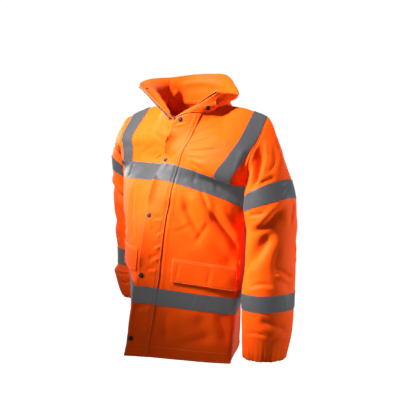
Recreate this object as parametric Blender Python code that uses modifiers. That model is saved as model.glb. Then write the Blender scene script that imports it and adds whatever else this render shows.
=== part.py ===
"""Hi-vis work jacket, worn open at the neck: cloth walls, bands, zip and press studs.

Metres, +Z up. +X is the wearer's left and -Y the wearer's front. The origin lies between
the shoulder tips, at their height.

Each cloth panel is a grid of points on its outer face. Key rows, which run from the zip
edge (or the middle of the back) to the side, give the form, and a smooth curve through
the rows fills the grid between them. A wall goes inwards from the grid along its normals,
which neighbours share at a seam, so that their rims are mitred. Bands, flaps and the zip
are made from the same points, moved out.
"""

import math
from dataclasses import dataclass

import bmesh
import bpy
import numpy as np
from mathutils import Vector

# ---------------------------------------------------------------- driving dimensions

WALL = 0.003             # outer cloth with its padding
COLLAR_WALL = 0.0045     # collar at its front edges
COLLAR_ROLL = 0.0045     # extra at the back of the neck, where a hood is rolled inside
SEAM_GAP = 0.0003        # between a seam and the edge of a panel, and under a layer
NECK_GAP = 0.00065       # neckline to the edge of the collar, whose cloth turns sharply there
TAPE = 0.0009            # reflective tape
FLAP_WALL = 0.0024       # storm flap and pocket flaps, two layers of cloth
FLAP_LIFT = 0.0017       # underside of the storm flap above the fronts
FLAP_EDGE_LIFT = 0.0030  # extra lift at the storm flap's free edge
POCKET_LIFT = 0.0004     # underside of a pocket flap at its seam
POCKET_EDGE_LIFT = 0.0025
POCKET_START = 0.070     # zip edge to the left pocket flap's near end
POCKET_STEP = (0.022, 0.008)   # least distance from the storm flap to the next column, left and right
BAND = 0.050             # width of the reflective tape
STUD_RADIUS = 0.0072
STUD_HEIGHT = 0.0028
SOCKET_RADIUS = 0.0045
SOCKET_HEIGHT = 0.0018
ZIP_TAPE = 0.0012
ZIP_EDGE_WIDTH = 0.0065  # zip tape and teeth standing out of the collar's front edge
GATHER_DEPTH = 0.0022    # waves that the elastic draws into the cuff

# columns of a front panel, counted from the zip edge
COL_SEAM = 3
COL_POCKET = 4
COL_NECK = 7             # shoulder-neck point
COL_BRACE = 10
COL_BRACE_EDGE = 12
COL_SIDE = 13
# columns of the back, counted from the left side; the shoulders match the fronts
BACK_NECK = COL_SIDE - COL_NECK
BACK_NECK_STEPS = 8
BACK_COLS = 2 * BACK_NECK + BACK_NECK_STEPS

ORANGE = (1.0, 0.16, 0.0)
GREY_TAPE = (0.22, 0.22, 0.23)
BLACK = (0.015, 0.012, 0.012)


@dataclass(frozen=True)
class FrontRow:
    """A key row of the left front: its zip end, its side end and the way it leaves each."""

    name: str
    steps: int        # grid steps down to the next key row
    zip: tuple        # x, y, z at the zip edge
    side: tuple       # x, y, z at the armhole or side seam
    turn_zip: float   # degrees that the row is turned from +X at the zip edge
    turn_side: float  # degrees at the side, away from straight across
    full_zip: float   # pull of each end's direction, in lengths of the row
    full_side: float
    sag: float        # power of the row's fall towards the side
    seam: float       # zip edge to the storm flap's seam
    free: float       # zip edge to the storm flap's free edge, on the right front
    edge: float       # side to the brace's or the pocket flap's outer edge


@dataclass(frozen=True)
class RightRow:
    """What differs on the right front, which shares the zip edge's points."""

    name: str
    side: tuple
    corner: float     # degrees that the row turns back at the storm flap's free edge
    turn_side: float
    full_free: float  # pull of the direction that it has there
    full_side: float
    sag: float
    edge: float
    width: float      # of the brace's or the pocket flap's last stretch, along the row


@dataclass(frozen=True)
class BackRow:
    """A key row of the back: both armhole ends above the armpit, and its middle."""

    name: str
    left: tuple       # None below the armpit, where the side seam's points serve
    middle: tuple
    right: tuple
    turn_left: float  # degrees that the row leaves the left end, from +X
    turn_right: float # degrees that the row reaches the right end
    full: float


@dataclass(frozen=True)
class SleeveRing:
    """A key ring of a sleeve."""

    name: str
    steps: int
    centre: tuple
    across: float     # half width, body side to outer side
    deep: float       # half depth, front to back
    tilt: float       # degrees that the outer side is raised
    pitch: float      # degrees that the front is raised


@dataclass(frozen=True)
class Fold:
    """A large fold: a soft trough (negative depth) or ridge along a line on the cloth."""

    name: str
    panel: str
    start: tuple
    end: tuple
    width: float
    depth: float


FRONT_LEFT = [
    FrontRow("yoke", 3, (0.006, -0.082, -0.045), (0.270, -0.018, -0.045),
             5, 30, 0.9, 0.9, 1.5, 0.062, 0.010, 0.006),
    FrontRow("bust", 3, (0.007, -0.095, -0.088), (0.257, -0.056, -0.115),
             -9, 35, 0.9, 0.9, 1.5, 0.047, 0.021, 0.016),
    FrontRow("chest_top", 1, (0.004, -0.105, -0.128), (0.236, -0.058, -0.200),
             -8, 40, 0.9, 0.9, 1.5, 0.040, 0.027, 0.042),
    FrontRow("armpit", 1, (0.001, -0.116, -0.155), (0.225, -0.018, -0.212),
             -2, 50, 0.9, 0.9, 1.5, 0.038, 0.030, 0.044),
    FrontRow("chest_bottom", 3, (-0.001, -0.125, -0.178), (0.221, -0.024, -0.256),
             0, 60, 0.9, 0.9, 1.4, 0.037, 0.031, 0.046),
    FrontRow("rib", 3, (-0.006, -0.158, -0.285), (0.216, -0.033, -0.335),
             10, 60, 0.9, 0.8, 1.2, 0.037, 0.031, 0.025),
    FrontRow("pocket_top", 2, (-0.013, -0.174, -0.389), (0.213, -0.042, -0.426),
             22, 55, 0.9, 0.8, 1.0, 0.037, 0.031, 0.006),
    FrontRow("pocket_bottom", 1, (-0.017, -0.181, -0.459), (0.210, -0.047, -0.495),
             26, 52, 0.9, 0.8, 1.0, 0.037, 0.031, 0.006),
    FrontRow("waist_top", 1, (-0.020, -0.185, -0.484), (0.208, -0.049, -0.516),
             28, 50, 0.9, 0.8, 0.9, 0.037, 0.031, 0.010),
    FrontRow("waist_bottom", 3, (-0.025, -0.191, -0.533), (0.205, -0.053, -0.563),
             30, 50, 0.9, 0.8, 0.9, 0.037, 0.031, 0.010),
    FrontRow("hem", 0, (-0.041, -0.211, -0.690), (0.198, -0.061, -0.707),
             36, 50, 0.9, 0.8, 0.9, 0.037, 0.030, 0.010),
]

FRONT_RIGHT = [
    RightRow("yoke", (-0.250, -0.028, -0.045), 0, 12, 0.9, 0.9, 2.0, 0.003, 0.060),
    RightRow("bust", (-0.240, -0.040, -0.085), 0, 13, 0.9, 0.9, 2.0, 0.004, 0.058),
    RightRow("chest_top", (-0.236, -0.042, -0.124), 0, 13, 0.9, 0.9, 2.0, 0.005, 0.054),
    RightRow("armpit", (-0.243, -0.026, -0.148), 0, 36, 0.9, 1.0, 1.6, 0.008, 0.050),
    RightRow("chest_bottom", (-0.243, -0.027, -0.176), 0, 56, 0.9, 1.0, 1.5, 0.008, 0.050),
    RightRow("rib", (-0.232, -0.020, -0.280), 5, 68, 1.0, 1.0, 1.2, 0.012, 0.050),
    RightRow("pocket_top", (-0.224, -0.018, -0.352), 18, 72, 0.77, 0.77, 0.4, 0.050, 0.050),
    RightRow("pocket_bottom", (-0.219, -0.018, -0.421), 26, 76, 0.62, 0.62, 0.4, 0.050, 0.050),
    RightRow("waist_top", (-0.216, -0.018, -0.450), 30, 78, 0.30, 0.30, 0.7, 0.040, 0.050),
    RightRow("waist_bottom", (-0.212, -0.016, -0.500), 36, 80, 0.20, 0.20, 0.7, 0.020, 0.050),
    RightRow("hem", (-0.203, -0.010, -0.678), 60, 82, 0.10, 0.10, 1.0, 0.010, 0.050),
]

BACK = [
    BackRow("yoke", (0.262, 0.062, -0.045), (0.000, 0.140, 0.000), (-0.254, 0.056, -0.045), 150, 208, 0.9),
    BackRow("bust", (0.243, 0.086, -0.115), (0.002, 0.158, -0.095), (-0.242, 0.070, -0.085), 148, 212, 0.9),
    BackRow("chest_top", (0.230, 0.056, -0.198), (0.004, 0.160, -0.165), (-0.236, 0.046, -0.128),
            135, 222, 0.9),
    BackRow("armpit", None, (0.005, 0.160, -0.196), None, 108, 235, 0.9),
    BackRow("chest_bottom", None, (0.006, 0.160, -0.216), None, 104, 235, 0.9),
    BackRow("rib", None, (0.010, 0.160, -0.305), None, 95, 238, 0.9),
    BackRow("pocket_top", None, (0.016, 0.162, -0.384), None, 93, 240, 0.9),
    BackRow("pocket_bottom", None, (0.021, 0.165, -0.452), None, 100, 240, 0.9),
    BackRow("waist_top", None, (0.023, 0.167, -0.474), None, 107, 240, 0.9),
    BackRow("waist_bottom", None, (0.026, 0.170, -0.523), None, 120, 240, 0.9),
    BackRow("hem", None, (0.034, 0.180, -0.694), None, 134, 240, 0.7),
]

# top edge of a front, from the zip edge along the neckline and out over the shoulder
NECK_STEPS = 3           # grid steps from the top edge to the yoke row
NECK_SEAM = 0.095        # zip edge to the storm flap's seam, along the neckline
NECK_FREE = 0.006        # zip edge to its free edge, which the open collar pulls back
EDGE_LEFT = (0.004, BAND)     # shoulder tip to the brace's outer edge, and the brace's width
EDGE_RIGHT = (0.018, 0.070)   # along the shoulder seam, which the brace may cross askew
NECK_ZIP = (0.000, -0.0775, 0.000)
NECK_LEFT = [NECK_ZIP, (0.021, -0.0725, 0.0125), (0.050, -0.062, 0.020), (0.086, -0.036, 0.0235),
             (0.118, 0.028, 0.046)]
NECK_RIGHT = [NECK_ZIP, (-0.045, -0.062, 0.019), (-0.084, -0.030, 0.036), (-0.114, 0.028, 0.052)]
NECK_BACK = [NECK_LEFT[-1], (0.090, 0.082, 0.052), (0.000, 0.110, 0.054), (-0.090, 0.082, 0.054),
             NECK_RIGHT[-1]]
TIP_LEFT = (0.270, 0.020, 0.010)
TIP_RIGHT = (-0.260, 0.020, 0.012)
SHOULDER_ROUND = 0.006   # rise of the shoulder seam above a straight line

SLEEVE_LEFT = [
    SleeveRing("band_upper_top", 2, (0.292, -0.014, -0.196), 0.071, 0.077, 25, 0),
    SleeveRing("band_upper_bottom", 3, (0.302, -0.017, -0.243), 0.076, 0.077, 19, 0),
    SleeveRing("elbow", 3, (0.303, -0.010, -0.340), 0.073, 0.074, 6, 0),
    SleeveRing("forearm", 2, (0.300, -0.013, -0.425), 0.073, 0.075, 0, 0),
    SleeveRing("band_lower_top", 1, (0.298, -0.017, -0.487), 0.074, 0.077, 0, -3),
    SleeveRing("band_lower_bottom", 2, (0.297, -0.018, -0.535), 0.074, 0.076, 0, -3),
    SleeveRing("wrist", 1, (0.294, -0.019, -0.612), 0.070, 0.072, 0, 0),
    SleeveRing("elastic", 1, (0.290, -0.020, -0.660), 0.064, 0.066, 0, 0),
    SleeveRing("cuff", 0, (0.288, -0.020, -0.682), 0.060, 0.061, 0, 0),
]

SLEEVE_RIGHT = [
    SleeveRing("band_upper_top", 2, (-0.300, 0.076, -0.158), 0.071, 0.076, 30, 20),
    SleeveRing("band_upper_bottom", 3, (-0.308, 0.094, -0.204), 0.073, 0.077, 24, 22),
    SleeveRing("elbow", 2, (-0.318, 0.114, -0.295), 0.073, 0.075, 8, 10),
    SleeveRing("forearm", 2, (-0.320, 0.127, -0.360), 0.074, 0.075, 0, 2),
    SleeveRing("band_lower_top", 1, (-0.313, 0.125, -0.418), 0.072, 0.075, 0, -4),
    SleeveRing("band_lower_bottom", 2, (-0.308, 0.120, -0.467), 0.072, 0.074, 0, -6),
    SleeveRing("wrist", 1, (-0.302, 0.110, -0.508), 0.078, 0.078, 0, -6),
    SleeveRing("elastic", 1, (-0.292, 0.102, -0.552), 0.068, 0.068, 0, -6),
    SleeveRing("cuff", 0, (-0.285, 0.098, -0.577), 0.058, 0.059, 0, -4),
]
CAP_STEPS = 6            # grid steps from the armhole to the upper band
CAP_LEFT = (1.1, 0.7)    # fall of the cap as it leaves the shoulder tip, and its pull
CAP_RIGHT = (0.45, 1.2)
CAP_STRAIGHT = 0.8       # how far it leans towards the upper band under the arm
SPREAD = (1.0, 0.6, 0.2, 0.0)   # share of the armhole's own angles that the first rings keep

# top edge of the collar: share of the way round from its left to its right front edge,
# point, and how far the collar leans outwards where it leaves the neckline
COLLAR_TOP = [
    (0.00, (0.124, -0.026, 0.082), 0.0),
    (0.12, (0.152, 0.002, 0.078), 0.4),
    (0.22, (0.156, 0.034, 0.076), 1.0),
    (0.34, (0.124, 0.070, 0.098), 0.8),
    (0.42, (0.064, 0.106, 0.136), 0.3),
    (0.50, (0.000, 0.118, 0.142), 0.0),
    (0.58, (-0.064, 0.108, 0.141), 0.0),
    (0.68, (-0.128, 0.068, 0.132), 0.0),
    (0.80, (-0.164, 0.010, 0.125), 0.0),
    (0.90, (-0.163, -0.036, 0.114), 0.0),
    (1.00, (-0.140, -0.072, 0.1025), 0.0),
]
COLLAR_ROWS = 6
FLAT = 0.15              # share of the steps that a limited slope keeps at a turning point
COLLAR_STAND = 0.6       # pull of the upright start of the collar, in lengths of its height
QUARTER = 1.66           # pull at both ends of a quarter round
LEAN_RISE = 0.6          # rise of a leaning collar as it leaves the neckline

FOLDS = [
    Fold("chest to side", "body", (0.085, -0.125, -0.260), (0.200, -0.070, -0.400), 0.026, -0.008),
    Fold("ridge above that drag", "body", (0.110, -0.120, -0.230), (0.205, -0.060, -0.340), 0.022, 0.006),
    Fold("below the chest band", "body", (0.045, -0.140, -0.250), (0.110, -0.120, -0.345), 0.022, -0.005),
    Fold("below the waist band", "body", (0.030, -0.180, -0.570), (0.060, -0.170, -0.660), 0.028, -0.005),
    Fold("right front drag", "body", (-0.080, -0.130, -0.260), (-0.190, -0.080, -0.380), 0.028, -0.006),
    Fold("back left drag", "body", (0.190, 0.060, -0.290), (0.090, 0.130, -0.430), 0.030, -0.007),
    Fold("back right drag", "body", (-0.180, 0.070, -0.280), (-0.080, 0.140, -0.400), 0.030, -0.007),
    Fold("back fall", "body", (0.010, 0.165, -0.340), (0.030, 0.175, -0.640), 0.040, -0.006),
    Fold("upper elbow", "sleeve_left", (0.240, -0.070, -0.315), (0.360, -0.060, -0.275), 0.018, -0.006),
    Fold("lower elbow", "sleeve_left", (0.250, -0.075, -0.420), (0.330, -0.085, -0.330), 0.022, -0.008),
    Fold("forearm", "sleeve_left", (0.270, -0.090, -0.450), (0.370, -0.030, -0.460), 0.018, -0.005),
    Fold("back of the elbow", "sleeve_left", (0.260, 0.060, -0.380), (0.370, 0.040, -0.340), 0.022, -0.006),
    Fold("far bunch", "sleeve_right", (-0.360, 0.060, -0.492), (-0.240, 0.060, -0.480), 0.014, 0.006),
    Fold("far elbow", "sleeve_right", (-0.380, 0.080, -0.330), (-0.250, 0.060, -0.350), 0.018, -0.007),
    Fold("far elbow back", "sleeve_right", (-0.380, 0.170, -0.350), (-0.260, 0.200, -0.330), 0.022, -0.006),
]

STUDS = [(0.0035, 2.15), (-0.115, 4.9), (-0.277, 4.9), (-0.452, 4.9), (-0.637, 4.9)]   # height, flap column
STUD_CLEAR = 0.0006      # foot of a stud above the cloth
STUD_COLLAR = (1.65, 4.4) # row and column on the storm flap's turned end
SOCKET_COLLAR = (4.8, 1.3)    # row on the collar, and columns in from its right front edge
SOCKET_NECK = (0.3, 3.5)    # row and column on the right front

TURN_LOW = 4.7           # collar columns that the storm flap's turned end covers at the neckline
TURN_HIGH = 0.35         # and at its top
TURN_COLS = 6
TURN_FROM = 0.22         # its lower edge above the neckline, in rows of the collar
TURN_LIFT = 0.0019
TURN_BULGE = 0.0020
EDGE_FROM = (0.22, 0.10) # start of the open zip on each side, in shares of the collar's front edge
SLIDER = (0.0072, 0.0032, 0.0080)   # zip slider, across, deep and high
SLIDER_AT = (0.0010, -0.0758, 0.0078)


# ---------------------------------------------------------------- small tools


def knots_of(steps):
    """Row number of each key row."""
    return np.concatenate([[0], np.cumsum(steps)])


ROW_KNOTS = knots_of([NECK_STEPS] + [row.steps for row in FRONT_LEFT[:-1]])
ARMPIT = ROW_KNOTS[4]


def unit(v):
    """Vectors of length one along the last axis."""
    v = np.asarray(v, float)
    return v / np.maximum(np.linalg.norm(v, axis=-1, keepdims=True), 1e-12)


def along(points, wanted):
    """Points of a polyline at the wanted distances from its start."""
    points = np.asarray(points, float)
    run = np.concatenate([[0.0], np.cumsum(np.linalg.norm(np.diff(points, axis=0), axis=1))])
    return np.stack([np.interp(wanted, run, points[:, i]) for i in range(3)], axis=1)


def length(points):
    """Length of a polyline."""
    return float(np.linalg.norm(np.diff(np.asarray(points, float), axis=0), axis=1).sum())


def hermite(p0, m0, p1, m1, t):
    """Cubic curve from p0 to p1 that leaves along m0 and arrives along m1."""
    t = np.asarray(t, float)[:, None]
    return ((2 * t**3 - 3 * t**2 + 1) * p0 + (t**3 - 2 * t**2 + t) * m0
            + (-2 * t**3 + 3 * t**2) * p1 + (t**3 - t**2) * m1)


def smooth_through(keys, knots, wanted, limit=False):
    """Smooth curve through the keys, whose knots rise, read at the wanted knots.

    The slope at each key is the mean of the slopes on its two sides, each weighted by the
    other side's length. With the limit it is at most three times the flatter of the two,
    so that a long stretch beside a short, steep one doesn't bulge."""
    keys = np.asarray(keys, float)
    knots = np.asarray(knots, float)
    gap = np.diff(knots)
    shape = (-1,) + (1,) * (keys.ndim - 1)
    step = np.diff(keys, axis=0) / gap.reshape(shape)
    slope = np.empty_like(keys)
    slope[0], slope[-1] = step[0], step[-1]
    before, after = gap[:-1].reshape(shape), gap[1:].reshape(shape)
    slope[1:-1] = (step[:-1] * after + step[1:] * before) / (before + after)
    if limit:
        steep = np.abs(step)
        most = 3 * np.minimum(steep[:-1], steep[1:]) + FLAT * (steep[:-1] + steep[1:])
        slope[1:-1] = np.clip(slope[1:-1], -most, most)
    out = []
    for w in wanted:
        i = int(np.clip(np.searchsorted(knots, w, side="right") - 1, 0, len(gap) - 1))
        t = (w - knots[i]) / gap[i]
        out.append((2 * t**3 - 3 * t**2 + 1) * keys[i] + (t**3 - 2 * t**2 + t) * gap[i] * slope[i]
                   + (-2 * t**3 + 3 * t**2) * keys[i + 1] + (t**3 - t**2) * gap[i] * slope[i + 1])
    return np.array(out)


# ---------------------------------------------------------------- cloth as a grid


@dataclass
class Cloth:
    """Outer points of a piece of cloth, their normals, and each cell's diagonal."""

    points: np.ndarray
    normals: np.ndarray
    flip: np.ndarray          # True where a cell is cut along its other diagonal
    ring: bool = False        # the columns close into a tube

    def part(self, rows, cols):
        """The cloth between two rows and two columns, both counted in."""
        (r0, r1), (c0, c1) = rows, cols
        return Cloth(self.points[r0:r1 + 1, c0:c1 + 1], self.normals[r0:r1 + 1, c0:c1 + 1],
                     self.flip[r0:r1, c0:c1])

    def rows(self, r0, r1):
        """A tube's stretch between two rows."""
        return Cloth(self.points[r0:r1 + 1], self.normals[r0:r1 + 1], self.flip[r0:r1], self.ring)

    def turned(self, axis):
        """The same cloth counted the other way along an axis."""
        return Cloth(np.flip(self.points, axis), np.flip(self.normals, axis),
                     ~np.flip(self.flip, axis), self.ring)

    def joined(self, other, axis):
        """Two cloths that share their last and first line, as one."""
        cut = (slice(1, None), slice(None)) if axis == 0 else (slice(None), slice(1, None))
        return Cloth(np.concatenate([self.points, other.points[cut]], axis),
                     np.concatenate([self.normals, other.normals[cut]], axis),
                     np.concatenate([self.flip, other.flip], axis))


def cloth_from(points, ring=False):
    """A grid of points as cloth, with its normals still to come."""
    points = np.asarray(points, float)
    cells = (points.shape[0] - 1, points.shape[1] - (0 if ring else 1))
    return Cloth(points, np.zeros_like(points), np.zeros(cells, bool), ring)


def own_normals(cloth, inside):
    """Area-weighted normals of the grid's points, turned away from the inside points."""
    p = cloth.points
    if cloth.ring:
        p = np.concatenate([p, p[:, :1]], axis=1)
    cross = np.cross(p[1:, 1:] - p[:-1, :-1], p[1:, :-1] - p[:-1, 1:])
    total = np.zeros_like(p)
    for dr in (0, 1):
        for dc in (0, 1):
            total[dr:p.shape[0] - 1 + dr, dc:p.shape[1] - 1 + dc] += cross
    if cloth.ring:
        total[:, 0] += total[:, -1]
        total = total[:, :-1]
    sign = np.sign(np.sum(total * (cloth.points - inside)))
    return sign * total


def share_normals(cloths, sums):
    """Give points that coincide on different cloths the same mean normal."""
    flat = np.concatenate([c.points.reshape(-1, 3) for c in cloths])
    weight = np.concatenate([unit(s).reshape(-1, 3) for s in sums])
    _, index = np.unique(np.round(flat, 7), axis=0, return_inverse=True)
    index = index.reshape(-1)
    total = np.zeros((index.max() + 1, 3))
    np.add.at(total, index, weight)
    mean = unit(total)[index]
    start = 0
    for c in cloths:
        count = c.points.shape[0] * c.points.shape[1]
        c.normals = mean[start:start + count].reshape(c.points.shape)
        start += count


def drawn_in(points, amount, ring):
    """How far each edge point moves towards the middle of its piece to leave a seam gap."""
    move = np.zeros_like(points)
    move[0] += amount * unit(points[1] - points[0])
    move[-1] += amount * unit(points[-2] - points[-1])
    if not ring:
        move[:, 0] += amount * unit(points[:, 1] - points[:, 0])
        move[:, -1] += amount * unit(points[:, -2] - points[:, -1])
    return move


# ---------------------------------------------------------------- the form of the jacket


def heading(degrees):
    """A level direction, turned from +X."""
    return np.array([math.cos(math.radians(degrees)), math.sin(math.radians(degrees)), 0.0])


def left_row(row):
    """A key row of the left front as a fine line from the zip edge to the side."""
    p0, p1 = np.array(row.zip), np.array(row.side)
    span = np.linalg.norm((p1 - p0)[:2])
    t = np.linspace(0, 1, 41)
    line = hermite(p0, heading(row.turn_zip) * span * row.full_zip,
                   p1, heading(row.turn_side) * span * row.full_side, t)
    line[:, 2] = p0[2] + (p1[2] - p0[2]) * t ** row.sag
    return line


def right_row(row, right):
    """The same on the right front: straight under the storm flap, then round to the side."""
    p0, p1 = np.array(row.zip), np.array(right.side)
    away = 180 + row.turn_zip
    free = p0 + heading(away) * row.free
    span = np.linalg.norm((p1 - free)[:2])
    bent = hermite(free, heading(away - right.corner) * span * right.full_free,
                   p1, heading(180 - right.turn_side) * span * right.full_side, np.linspace(0, 1, 41))
    line = np.concatenate([[p0], bent])
    level = line * (1, 1, 0)
    share = np.concatenate([[0.0], np.cumsum(np.linalg.norm(np.diff(level, axis=0), axis=1))])
    line[:, 2] = p0[2] + (p1[2] - p0[2]) * (share / share[-1]) ** right.sag
    return line


def front_columns(line, flap, start, edge, width):
    """Points of a front's row: fixed distances from both ends, even steps between.

    The first columns share out the stretch under the storm flap."""
    total = length(line)
    near = list(np.linspace(0, flap, COL_SEAM + 1)) + [start]
    far = [total - edge - width, total - edge - width / 2, total - edge, total]
    middle = np.linspace(near[-1], far[0], COL_BRACE - COL_POCKET + 1)[1:-1]
    return along(line, np.concatenate([near, middle, far]))


def shoulder_points(neck, tip, edge, width):
    """The shoulder seam from the neck to the tip, with the brace's columns at its end."""
    t = np.linspace(0, 1, 25)[:, None]
    line = np.array(neck) + (np.array(tip) - np.array(neck)) * t
    line[:, 2] += SHOULDER_ROUND * np.sin(math.pi * t[:, 0])
    total = length(line)
    far = [total - edge - width, total - edge - width / 2, total - edge, total]
    inner = np.linspace(0, far[0], COL_BRACE - COL_NECK + 1)[:-1]
    return along(line, np.concatenate([inner, far]))


def front_top(neckline, tip, flap, brace):
    """Top row of a front: neckline, then shoulder seam."""
    line = smooth_through(neckline, range(len(neckline)), np.linspace(0, len(neckline) - 1, 40))
    near = list(np.linspace(0, flap, COL_SEAM + 1))
    near += list(np.linspace(flap, length(line), COL_NECK - COL_SEAM + 1)[1:])
    return np.concatenate([along(line, near)[:-1], shoulder_points(neckline[-1], tip, *brace)])


def panel_grid(top, lines):
    """Outer points of a front: its top row, then each key row on the columns."""
    keys = [top] + [front_columns(*line) for line in lines]
    return smooth_through(keys, ROW_KNOTS, range(ROW_KNOTS[-1] + 1), True)


def front_panels():
    """Outer points of the left and the right front."""
    left = panel_grid(front_top(NECK_LEFT, TIP_LEFT, NECK_SEAM, EDGE_LEFT),
                      [(left_row(row), row.seam, max(POCKET_START, row.seam + POCKET_STEP[0]), row.edge, BAND)
                       for row in FRONT_LEFT])
    right = panel_grid(front_top(NECK_RIGHT, TIP_RIGHT, NECK_FREE, EDGE_RIGHT),
                       [(right_row(row, r), row.free, row.free + POCKET_STEP[1], r.edge, r.width)
                        for row, r in zip(FRONT_LEFT, FRONT_RIGHT)])
    return left, right


def back_row(row, left, right, edges):
    """A key row of the back: left end, middle, right end, on the columns.

    The edges are the distance from each side to a brace's outer edge, and its width."""
    halves = []
    for side, turn, way in ((left, row.turn_left, 1), (right, row.turn_right, -1)):
        p0, p1 = np.array(side, float), np.array(row.middle)
        span = np.linalg.norm((p1 - p0)[:2])
        a = math.radians(turn)
        leave = way * np.array([math.cos(a), math.sin(a), 0.0])
        arrive = np.array([-way, 0.0, 0.0])
        t = np.linspace(0, 1, 41)
        line = hermite(p0, leave * span * row.full, p1, arrive * span * row.full, t)
        line[:, 2] = p0[2] + (p1[2] - p0[2]) * (3 * t**2 - 2 * t**3)
        halves.append(line)
    line = np.concatenate([halves[0], halves[1][::-1][1:]])
    total = length(line)
    near, far = ([0.0, e, e + w / 2, e + w] for e, w in edges)
    middle = np.linspace(near[-1], total - far[-1], BACK_COLS - 5)[1:-1]
    return along(line, np.concatenate([near, middle, [total - e for e in reversed(far)]]))


def back_panel(front_left, front_right):
    """Outer points of the back, whose shoulders and side seams are the fronts'."""
    line = smooth_through(NECK_BACK, range(len(NECK_BACK)), np.linspace(0, len(NECK_BACK) - 1, 41))
    neck = along(line, np.linspace(0, length(line), BACK_NECK_STEPS + 1))
    top = np.concatenate([front_left[0, :COL_NECK:-1], neck, front_right[0, COL_NECK + 1:]])
    keys = [top]
    for row, knot, near, far in zip(BACK, ROW_KNOTS[1:], FRONT_LEFT, FRONT_RIGHT):
        left = front_left[knot, -1] if row.left is None else row.left
        right = front_right[knot, -1] if row.right is None else row.right
        keys.append(back_row(row, left, right, ((near.edge, BAND), (far.edge, far.width))))
    grid = smooth_through(keys, ROW_KNOTS, range(ROW_KNOTS[-1] + 1), True)
    grid[ARMPIT:, 0] = front_left[ARMPIT:, -1]
    grid[ARMPIT:, -1] = front_right[ARMPIT:, -1]
    return grid


def folded(points, normals, panel, fade=None):
    """Points moved along their normals by the folds of their panel."""
    moved = points.copy()
    for fold in FOLDS:
        if fold.panel != panel:
            continue
        a, b = np.array(fold.start), np.array(fold.end)
        t = np.clip(np.sum((points - a) * (b - a), axis=-1) / np.sum((b - a) ** 2), 0, 1)
        distance = np.linalg.norm(points - (a + t[..., None] * (b - a)), axis=-1)
        depth = fold.depth * np.exp(-((distance / fold.width) ** 2))
        if fade is not None:
            depth = depth * fade
        moved += normals * depth[..., None]
    return moved


def ring_points(ring, side, angles):
    """Points round a sleeve at the angles: outer side, front, body side, back."""
    tilt, pitch = math.radians(ring.tilt), math.radians(ring.pitch)
    out = np.array([side * math.cos(tilt), 0.0, math.sin(tilt)])
    front = np.array([0.0, -math.cos(pitch), math.sin(pitch)])
    return (np.array(ring.centre) + ring.across * np.cos(angles)[:, None] * out
            + ring.deep * np.sin(angles)[:, None] * front)


def armhole_angles(armhole):
    """Angle of each armhole point round the arm: top, front, armpit, back."""
    y, z = armhole[:, 1], armhole[:, 2]
    up = (z - (z.max() + z.min()) / 2) / (z.max() - z.min())
    fore = ((y.max() + y.min()) / 2 - y) / (y.max() - y.min())
    angles = np.unwrap(np.arctan2(fore, up))
    return angles - round(angles[0] / (2 * math.pi)) * 2 * math.pi


def sleeve_panel(rings, armhole, side, cap):
    """Outer points of a sleeve: cap from the armhole, then the tube to the cuff.

    The upper band's points stand at the armhole's angles, the later rings' evenly."""
    count = len(armhole)
    even = np.arange(count) / count * 2 * math.pi
    own = armhole_angles(armhole)
    share = [SPREAD[min(i, len(SPREAD) - 1)] for i in range(len(rings))]
    keys = [ring_points(r, side, even + (own - even) * k) for r, k in zip(rings, share)]
    low = ((1 - np.cos(own)) / 2)[:, None]
    over, under = np.array([side * 1.0, 0.0, -cap[0]]), np.array([side * 0.35, 0.0, -1.0])
    leave = unit((1 - low) * over + low * under)
    leave = unit(leave + CAP_STRAIGHT * low * unit(keys[0] - armhole))
    tilt = math.radians(rings[0].tilt)
    arrive = np.array([side * math.sin(tilt), 0.0, -math.cos(tilt)])
    reach = np.linalg.norm(keys[0] - armhole, axis=1, keepdims=True)
    leave, arrive = leave * reach * cap[1], arrive * reach
    crown = [hermite(armhole, leave, keys[0], arrive, [t] * count)
             for t in np.linspace(0, 1, CAP_STEPS + 1)]
    knots = knots_of([r.steps for r in rings[:-1]])
    tube = smooth_through(keys, knots, range(knots[-1] + 1))
    grid = np.concatenate([np.array(crown), tube[1:]])
    wave = np.where(np.arange(count) % 2 == 0, 1.0, -1.0)[:, None]
    centre = grid[-1].mean(axis=0)
    for row, share in ((-1, 1.0), (-2, 0.5)):
        grid[row] += wave * share * GATHER_DEPTH * unit((grid[row] - centre) * (1, 1, 0))
    return grid


def collar_panel(base):
    """Outer points of the collar, from the neckline up to its top edge."""
    share = np.linspace(0, 1, len(base))
    shares = [s for s, _, _ in COLLAR_TOP]
    top = smooth_through([p for _, p, _ in COLLAR_TOP], shares, share)
    lean = np.interp(share, shares, [k for _, _, k in COLLAR_TOP])[:, None]
    rise = top - base
    reach = np.linalg.norm(rise, axis=1, keepdims=True)
    leave = unit(unit(rise) * (1, 1, 0.4) + np.array([0.0, 0.0, 1.0])) * reach * COLLAR_STAND
    arrive = unit(unit(rise) * (1, 1, 0.6)) * reach * COLLAR_STAND
    leave = (1 - lean) * leave + lean * QUARTER * rise * (1, 1, LEAN_RISE)
    arrive = (1 - lean) * arrive + lean * QUARTER * rise * (0, 0, 1)
    ease = np.clip(np.minimum(share, 1 - share)[:, None] / 0.12, 0, 1)
    leave = ease * leave + (1 - ease) * rise
    arrive = ease * arrive + (1 - ease) * rise
    return np.array([hermite(base, leave, top, arrive, [t] * len(base))
                     for t in np.linspace(0, 1, COLLAR_ROWS + 1)])


# ---------------------------------------------------------------- solids


def material(name, colour, roughness, metallic=0.0):
    """A plain Principled material."""
    mat = bpy.data.materials.new(name)
    mat.use_nodes = True
    shader = mat.node_tree.nodes["Principled BSDF"]
    shader.inputs["Base Color"].default_value = (*colour, 1.0)
    shader.inputs["Roughness"].default_value = roughness
    shader.inputs["Metallic"].default_value = metallic
    return mat


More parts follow.
